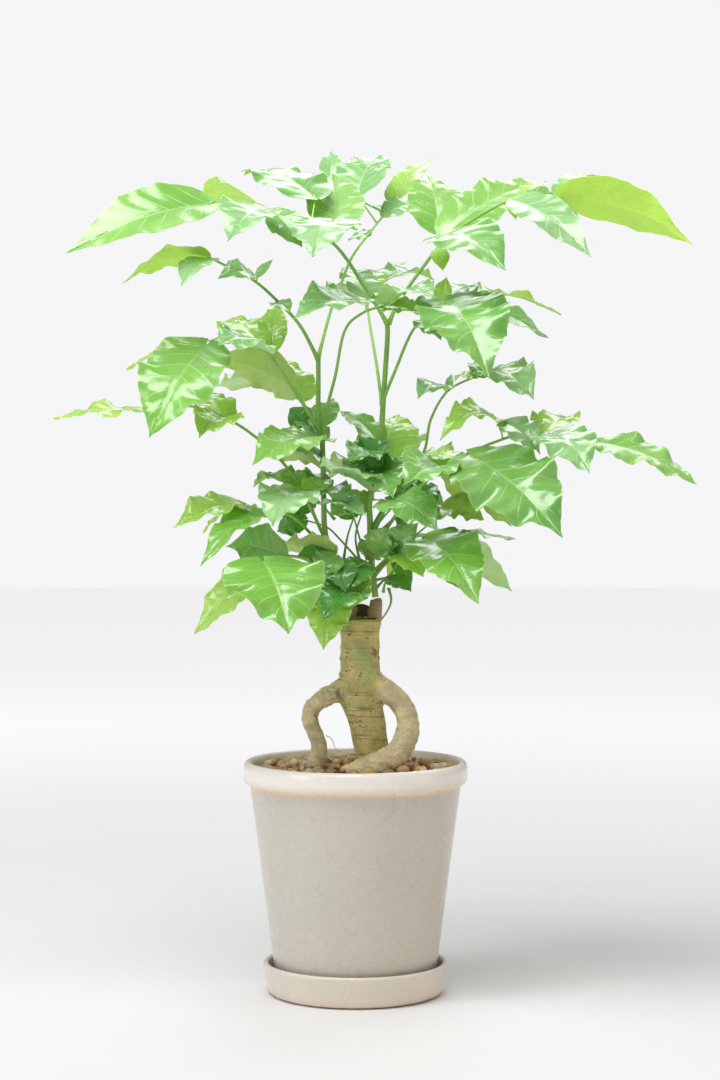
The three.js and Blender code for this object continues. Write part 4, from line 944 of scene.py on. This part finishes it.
# ---- Trunk ----
class HETEROPANAX_OT_trunk(bpy.types.Operator):
    """Builds the trunk with its stilt roots and brown shoots as one skin, and gives it bark"""
    bl_idname = "heteropanax.trunk"
    bl_label = "Trunk and Roots"

    def execute(self, context):
        look = context.scene.heteropanax_plant
        limbs = []
        for rows in (TRUNK, LEFT_ROOT, RIGHT_ROOT, RIGHT_SHOOT, LEFT_SHOOT, OLD_STUB):
            line = smooth_line(rows, 2)
            limbs.append(bar("limb", line[:, :3], line[:, 3], sides=10))
        trunk = joined("trunk_bark", limbs)
        apply_modifier(trunk, "REMESH", mode="VOXEL", voxel_size=0.0011)
        apply_modifier(trunk, "SMOOTH", factor=0.5, iterations=7)
        points = coordinates(trunk)
        normals = np.empty(len(points) * 3)
        trunk.data.vertices.foreach_get("normal", normals)
        normals = normals.reshape(-1, 3)
        x, y, z = (points / MM).T
        roots = np.vstack([smooth_line(rows, 2)[6:] for rows in (LEFT_ROOT, RIGHT_ROOT)])
        stem = smooth_line(TRUNK, 2)
        places = points[:, None] / MM
        to_root = np.min(np.linalg.norm(places - roots[None, :, :3], axis=2) - roots[:, 3], axis=1)
        to_stem = np.min(np.linalg.norm(places - stem[None, :, :3], axis=2) - stem[:, 3], axis=1)
        rootness = np.clip((to_stem - to_root) / 6 + 0.3, 0, 1)
        on_trunk = 1 - rootness
        lift = np.zeros(len(points))
        for height, rise, breadth in RING_SCARS:
            wave = 0.9 * np.sin(np.arctan2(y, x - 3) * 2 + height)
            lift += rise * on_trunk * np.exp(-((z - height - wave) / breadth) ** 2)
        lift += 0.35 * rootness * np.sin(z * 0.9 + x * 0.7) * np.sin(x * 0.5 - y * 0.4 + 1)
        lift += 0.45 * np.sin(x * 0.35 + z * 0.21) * np.sin(y * 0.4 - z * 0.13 + 2)
        lift -= 1.6 * ((z > 282.6) & (np.hypot(x - 3.4, y) < 11.5) & (normals[:, 2] > 0.8))
        set_coordinates(trunk, points + normals * (lift * MM)[:, None])
        layer = trunk.data.attributes.new("rootness", "FLOAT", "POINT")
        layer.data.foreach_set("value", rootness.astype(np.float32))
        trunk.data.materials.append(bark_material("bark", tuple(look.bark), tuple(look.root)))
        trunk.data.materials.append(shoot_material("shoot_bark", (0.40, 0.26, 0.15)))
        trunk.data.materials.append(shoot_material("old_cut_and_hollow_shade", tuple(look.cut)))
        # Faces on top of the trunk and the old stub get the near-black cut colour: partly the dark old wound, partly
        # painted shade of its hollow.
        for face in trunk.data.polygons:
            at = face.center / MM
            on_shoot = min(math.hypot(at.x - 15.4, at.y) - 6.4, math.hypot(at.x + 4.2, at.y - 2) - 5.6) < 0
            if at.z > 283.4 and on_shoot:
                face.material_index = 1
            elif at.z > 285.6 or (at.z > 281.5 and face.normal.z > 0.55):
                face.material_index = 2
        pick(trunk)
        bpy.ops.object.shade_smooth()
        finish_piece(trunk, "bark", "trunk")
        line = smooth_line(ROOTLET, 1)
        hair = bar("root_hair", line, [0.35 - 0.2 * i / len(line) for i in range(len(line))], sides=2)
        smooth(hair)
        hair.data.materials.append(bpy.data.materials["shoot_bark"])
        finish_piece(hair, "bark")
        return {"FINISHED"}


# ---- Stems and stalks ----
LINES = {}


def stalk_line(name):
    """The smooth line of a stem or stalk, worked out for all of them the first time one is asked for."""
    if name not in LINES:
        for row in STALKS:
            LINES[row[0]] = smooth_line(row[4], 3)
    return LINES[name]


class HETEROPANAX_OT_stems(bpy.types.Operator):
    """Runs each green stem and leaf stalk along its route, thicker at its foot"""
    bl_idname = "heteropanax.stems"
    bl_label = "Stems and Stalks"

    def execute(self, context):
        tint = tuple(context.scene.heteropanax_plant.stem)
        skin = stem_material("green_stem", tint)
        pale = stem_material("pale_stem", tuple(min(1, c * 1.5 + 0.05) for c in tint))
        for name, parent, start, end, route in STALKS:
            line = stalk_line(name)
            last = len(line) - 1
            radii = []
            for i in range(last + 1):
                t = i / last
                foot = 0.0 if parent == "trunk" else 0.55 * math.exp(-i / 1.6)
                radii.append(start + (end - start) * t + foot * start)
            obj = bar(f"{name}_green", line, radii, sides=3)
            smooth(obj, 60)
            obj.data.materials.append(pale if name in ("stalk_back", "stalk_top_back") else skin)
            finish_piece(obj, "green_stem", *([name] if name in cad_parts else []))
        return {"FINISHED"}


# ---- Leaflets ----
OUTLINE = [(0, 0.05), (0.03, 0.42), (0.08, 0.7), (0.15, 0.87), (0.24, 0.97), (0.34, 1), (0.46, 0.97), (0.57, 0.87),
           (0.67, 0.72), (0.77, 0.51), (0.85, 0.31), (0.91, 0.165), (0.95, 0.08), (0.98, 0.035), (1, 0.008)]


def outline(u):
    """Half width of a blade along it, from 0 to 1: broad and rounded, with a short drip tip."""
    along, half = zip(*OUTLINE)
    return np.interp(u, along, half)


def blade_frame(base, tip, lean, side):
    """A blade's axis, its upper side's direction and the direction across it."""
    axis = (tip - base).normalized()
    a, b = math.radians(lean), math.radians(side)
    hint = Vector((math.sin(b), -math.sin(a) * math.cos(b), math.cos(a) * math.cos(b)))
    normal = (hint - axis * hint.dot(axis)).normalized()
    return axis, normal, axis.cross(normal)


def blade(name, base, tip, width, lean, side, arch, ruffled, seed, look):
    """One leaflet's blade: a grid laid along its arched midrib, then ruffled, toothed and quilted."""
    rnd = random.Random(seed)
    base, tip = Vector(base), Vector(tip)
    axis, normal, across = blade_frame(base, tip, lean, side)
    long = (tip - base).length
    deselect()
    along_steps = max(24, min(64, int(long / 1.6)))
    bpy.ops.mesh.primitive_grid_add(x_subdivisions=along_steps, y_subdivisions=18, size=1)
    obj = made(name)
    grid = coordinates(obj)
    u = grid[:, 0] + 0.5
    v = grid[:, 1] * 2
    s = np.abs(v)
    left = v > 0
    half = width / 2 * outline(u)
    phases = [rnd.uniform(0, 2 * math.pi) for _ in range(8)]
    waves = rnd.uniform(2.6, 3.8)
    teeth = max(4, int(long / 7.5))
    saw = np.abs(((u * teeth + np.where(left, phases[0], phases[1])) % 1.0) - 0.35)
    margin = 1 + ruffled * look.tooth * width * (0.5 - saw) * 2.0 * np.clip(np.sin(math.pi * u), 0, 1) \
        * s ** 5 / np.maximum(half, 2)
    lobe = 0.10 * width * s ** 1.5 * np.clip(1 - u * 3.2, 0, 1) ** 2
    x = u * long - lobe
    y = v * half * margin
    swell = np.clip(np.sin(math.pi * np.clip(u, 0, 1)), 0, 1) ** 0.6
    first = np.sin(2 * math.pi * waves * u + np.where(left, phases[2], phases[3]))
    second = np.sin(2 * math.pi * waves * 2.1 * u + np.where(left, phases[4], phases[5]))
    wave = look.ruffle * width * ruffled * s ** 2.2 * swell * (first + 0.45 * second)
    bend = 0.05 * width * ruffled * np.sin(2 * math.pi * u * 1.3 + phases[6]) * v * swell
    turn = (u - 0.19 * s ** 0.85) * 7.0
    cushions = np.abs(np.sin(math.pi * (turn + 0.5))) ** 0.8
    quilt = 0.017 * width * cushions * np.sin(math.pi * np.clip(s, 0, 1)) ** 0.8 * swell
    groove = -0.016 * width * np.exp(-(s / 0.08) ** 2) * swell
    cup = (0.12 + 0.10 * math.sin(phases[7])) * half * s ** 1.3
    droop = -0.045 * long * np.clip((u - 0.55) / 0.45, 0, 1) ** 2 * (1 - u) * 4
    z = arch * 4 * u * (1 - u) + cup + wave + bend + quilt + groove + droop
    place = (np.outer(x, axis) + np.outer(y, across) + np.outer(z, normal) + np.array(base)) * MM
    set_coordinates(obj, place)
    obj.data.flip_normals()
    if (obj.data.polygons[len(obj.data.polygons) // 2].normal).dot(normal) < 0:
        obj.data.flip_normals()
    return obj


def stalk_foot(stalk, base):
    """The point on a stalk's line nearest to a blade's base."""
    line = stalk_line(stalk)[:, :3]
    return Vector(line[np.argmin(np.linalg.norm(line - np.array(base), axis=1))])


class HETEROPANAX_OT_leaflets(bpy.types.Operator):
    """Makes every leaflet: its blade, glossy above and dull below, on a short petiolule from its stalk"""
    bl_idname = "heteropanax.leaflets"
    bl_label = "Leaflets"

    def execute(self, context):
        look = context.scene.heteropanax_plant
        for tone, (upper, veins, lower) in TONES.items():
            blade_material(f"leaf_{tone}", upper, veins, False)
            blade_material(f"leaf_{tone}_under", lower, tuple(min(1, c * 1.25 + 0.04) for c in lower), True)
        for seed, row in enumerate(LEAFLETS):
            stalk, letter, own, base, tip, width, lean, side, arch, tone, ruffled = row
            label = f"{stalk.replace('stalk_', '')}_{letter}"
            obj = blade(f"leaf_{label}", base, tip, width, lean, side, arch, ruffled, seed, look)
            for suffix in ("", "_under"):
                obj.data.materials.append(bpy.data.materials[f"leaf_{tone}{suffix}"])
            apply_modifier(obj, "SOLIDIFY", thickness=look.blade_thickness, offset=-1, material_offset=1,
                           material_offset_rim=1, use_even_offset=False)
            foot = stalk_foot(stalk, base)
            axis = (Vector(tip) - Vector(base)).normalized()
            normal = blade_frame(Vector(base), Vector(tip), lean, side)[1]
            slope = (axis * (Vector(tip) - Vector(base)).length + normal * arch * 4).normalized()
            ends = [foot, foot.lerp(Vector(base), 0.6), Vector(base) + slope * 0.5,
                    Vector(base) + slope * 0.08 * width + normal * -0.25]
            line = smooth_line([tuple(p) for p in ends], 2)
            petiolule = bar("petiolule", line, np.linspace(0.85, 0.4, len(line)), sides=2)
            petiolule.data.materials.append(bpy.data.materials["pale_stem"])
            obj = joined(f"leaf_{label}", [obj, petiolule])
            smooth(obj, 60)
            finish_piece(obj, "leaf_blade", *([f"leaflet_{label}"] if own else []))
        return {"FINISHED"}


# ---- Stage ----
def softbox(name, place, target, size, power, tint=(1, 1, 1)):
    deselect()
    bpy.ops.object.light_add(type="AREA", location=place)
    lamp = bpy.context.object
    lamp.name = name
    lamp.data.shape = "RECTANGLE"
    lamp.data.size, lamp.data.size_y = size
    lamp.data.energy = power
    lamp.data.color = tint
    lamp.rotation_euler = (Vector(target) - Vector(place)).to_track_quat("-Z", "Y").to_euler()
    return lamp


class HETEROPANAX_OT_stage(bpy.types.Operator):
    """Sets the camera, the pale floor and the soft light"""
    bl_idname = "heteropanax.stage"
    bl_label = "Stage"

    def execute(self, context):
        look = context.scene.heteropanax_stage
        deselect()
        bpy.ops.object.camera_add(location=(0.0034, -look.distance, look.height),
                                  rotation=(math.radians(90 - 1.9), 0, 0))
        camera = bpy.context.object
        camera.name = "front_camera"
        camera.data.lens = look.lens
        camera.data.sensor_width = 36
        context.scene.camera = camera
        bpy.ops.mesh.primitive_circle_add(vertices=64, radius=6, fill_type="NGON", location=(0, 0, -0.0004))
        floor = settle(made("floor"))
        mat, nodes, inputs = material("pale_floor", roughness=0.6, Emission_Strength=1.0)
        place = object_place(nodes)
        tone = nodes.group(mottle_effect(), {"Place": place, "Patch": 1.2, "Grain": 40.0, "Amount": 0.02})["Tone"]
        nodes.put(inputs["Base Color"], nodes.mix(1.0, (0.88, 0.875, 0.88), tone, "MULTIPLY"))
        # The floor glows more the farther it is from the pot: painted light that lifts its far part to the backdrop's
        # brightness.
        away = nodes.add("ShaderNodeVectorMath", {0: place}, output=1, operation="LENGTH")
        nodes.put(inputs["Emission Color"], nodes.mix(nodes.ramp(away, 0.3, 2.2), (0, 0, 0), (0.56, 0.56, 0.57)))
        floor.data.materials.append(mat)
        world = bpy.data.worlds.new("soft_room")
        context.scene.world = world
        world.use_nodes = True
        sky = world.node_tree.nodes["Background"]
        sky.inputs["Color"].default_value = (0.985, 0.985, 1.0, 1)
        room = Nodes(world.node_tree)
        seen = room.add("ShaderNodeLightPath", output="Is Camera Ray")
        room.put(sky.inputs["Strength"], room.ramp(seen, 0.0, 1.0, look.room, 0.93))
        softbox("overhead_softbox", (-0.3, -0.5, 1.6), (0, 0, 0.45), (1.0, 0.8), look.key)
        softbox("side_softbox", (-1.6, -1.0, 0.9), (0, 0, 0.3), (0.8, 1.3), look.fill)
        softbox("back_softbox", (0.3, 1.0, 1.5), (0, 0, 0.5), (1.2, 0.6), look.back)
        softbox("warm_fill", (1.5, -0.5, 0.35), (0, 0, 0.2), (0.6, 0.6), look.fill * 0.2, (1, 0.74, 0.48))
        context.scene.view_settings.view_transform = "Standard"
        return {"FINISHED"}


class HETEROPANAX_PT_panel(bpy.types.Panel):
    """The parts of the potted plant"""
    bl_idname = "HETEROPANAX_PT_panel"
    bl_label = "Heteropanax"
    bl_space_type = "VIEW_3D"
    bl_region_type = "UI"
    bl_category = "Heteropanax"

    def draw(self, context):
        for step in STEPS:
            self.layout.operator(step.bl_idname)
        for group in SETTINGS:
            box = self.layout.box()
            box.label(text=group)
            settings = getattr(context.scene, group)
            for name in settings.__annotations__:
                box.prop(settings, name)


STEPS = (HETEROPANAX_OT_stage, HETEROPANAX_OT_saucer, HETEROPANAX_OT_pot, HETEROPANAX_OT_filling,
         HETEROPANAX_OT_trunk, HETEROPANAX_OT_stems, HETEROPANAX_OT_leaflets)
SETTINGS = {
    "heteropanax_pot": HeteropanaxPotSettings,
    "heteropanax_gravel": HeteropanaxGravelSettings,
    "heteropanax_plant": HeteropanaxPlantSettings,
    "heteropanax_stage": HeteropanaxStageSettings,
}


def register():
    for group in (*SETTINGS.values(), *STEPS, HETEROPANAX_PT_panel):
        bpy.utils.register_class(group)
    for name, group in SETTINGS.items():
        setattr(bpy.types.Scene, name, PointerProperty(type=group))


def unregister():
    for name in SETTINGS:
        delattr(bpy.types.Scene, name)
    for group in reversed((*SETTINGS.values(), *STEPS, HETEROPANAX_PT_panel)):
        bpy.utils.unregister_class(group)


def main():
    register()
    bpy.ops.heteropanax.stage()
    bpy.ops.heteropanax.saucer()
    bpy.ops.heteropanax.pot()
    bpy.ops.heteropanax.filling()
    bpy.ops.heteropanax.trunk()
    bpy.ops.heteropanax.stems()
    bpy.ops.heteropanax.leaflets()


if __name__ == "__main__":
    main()
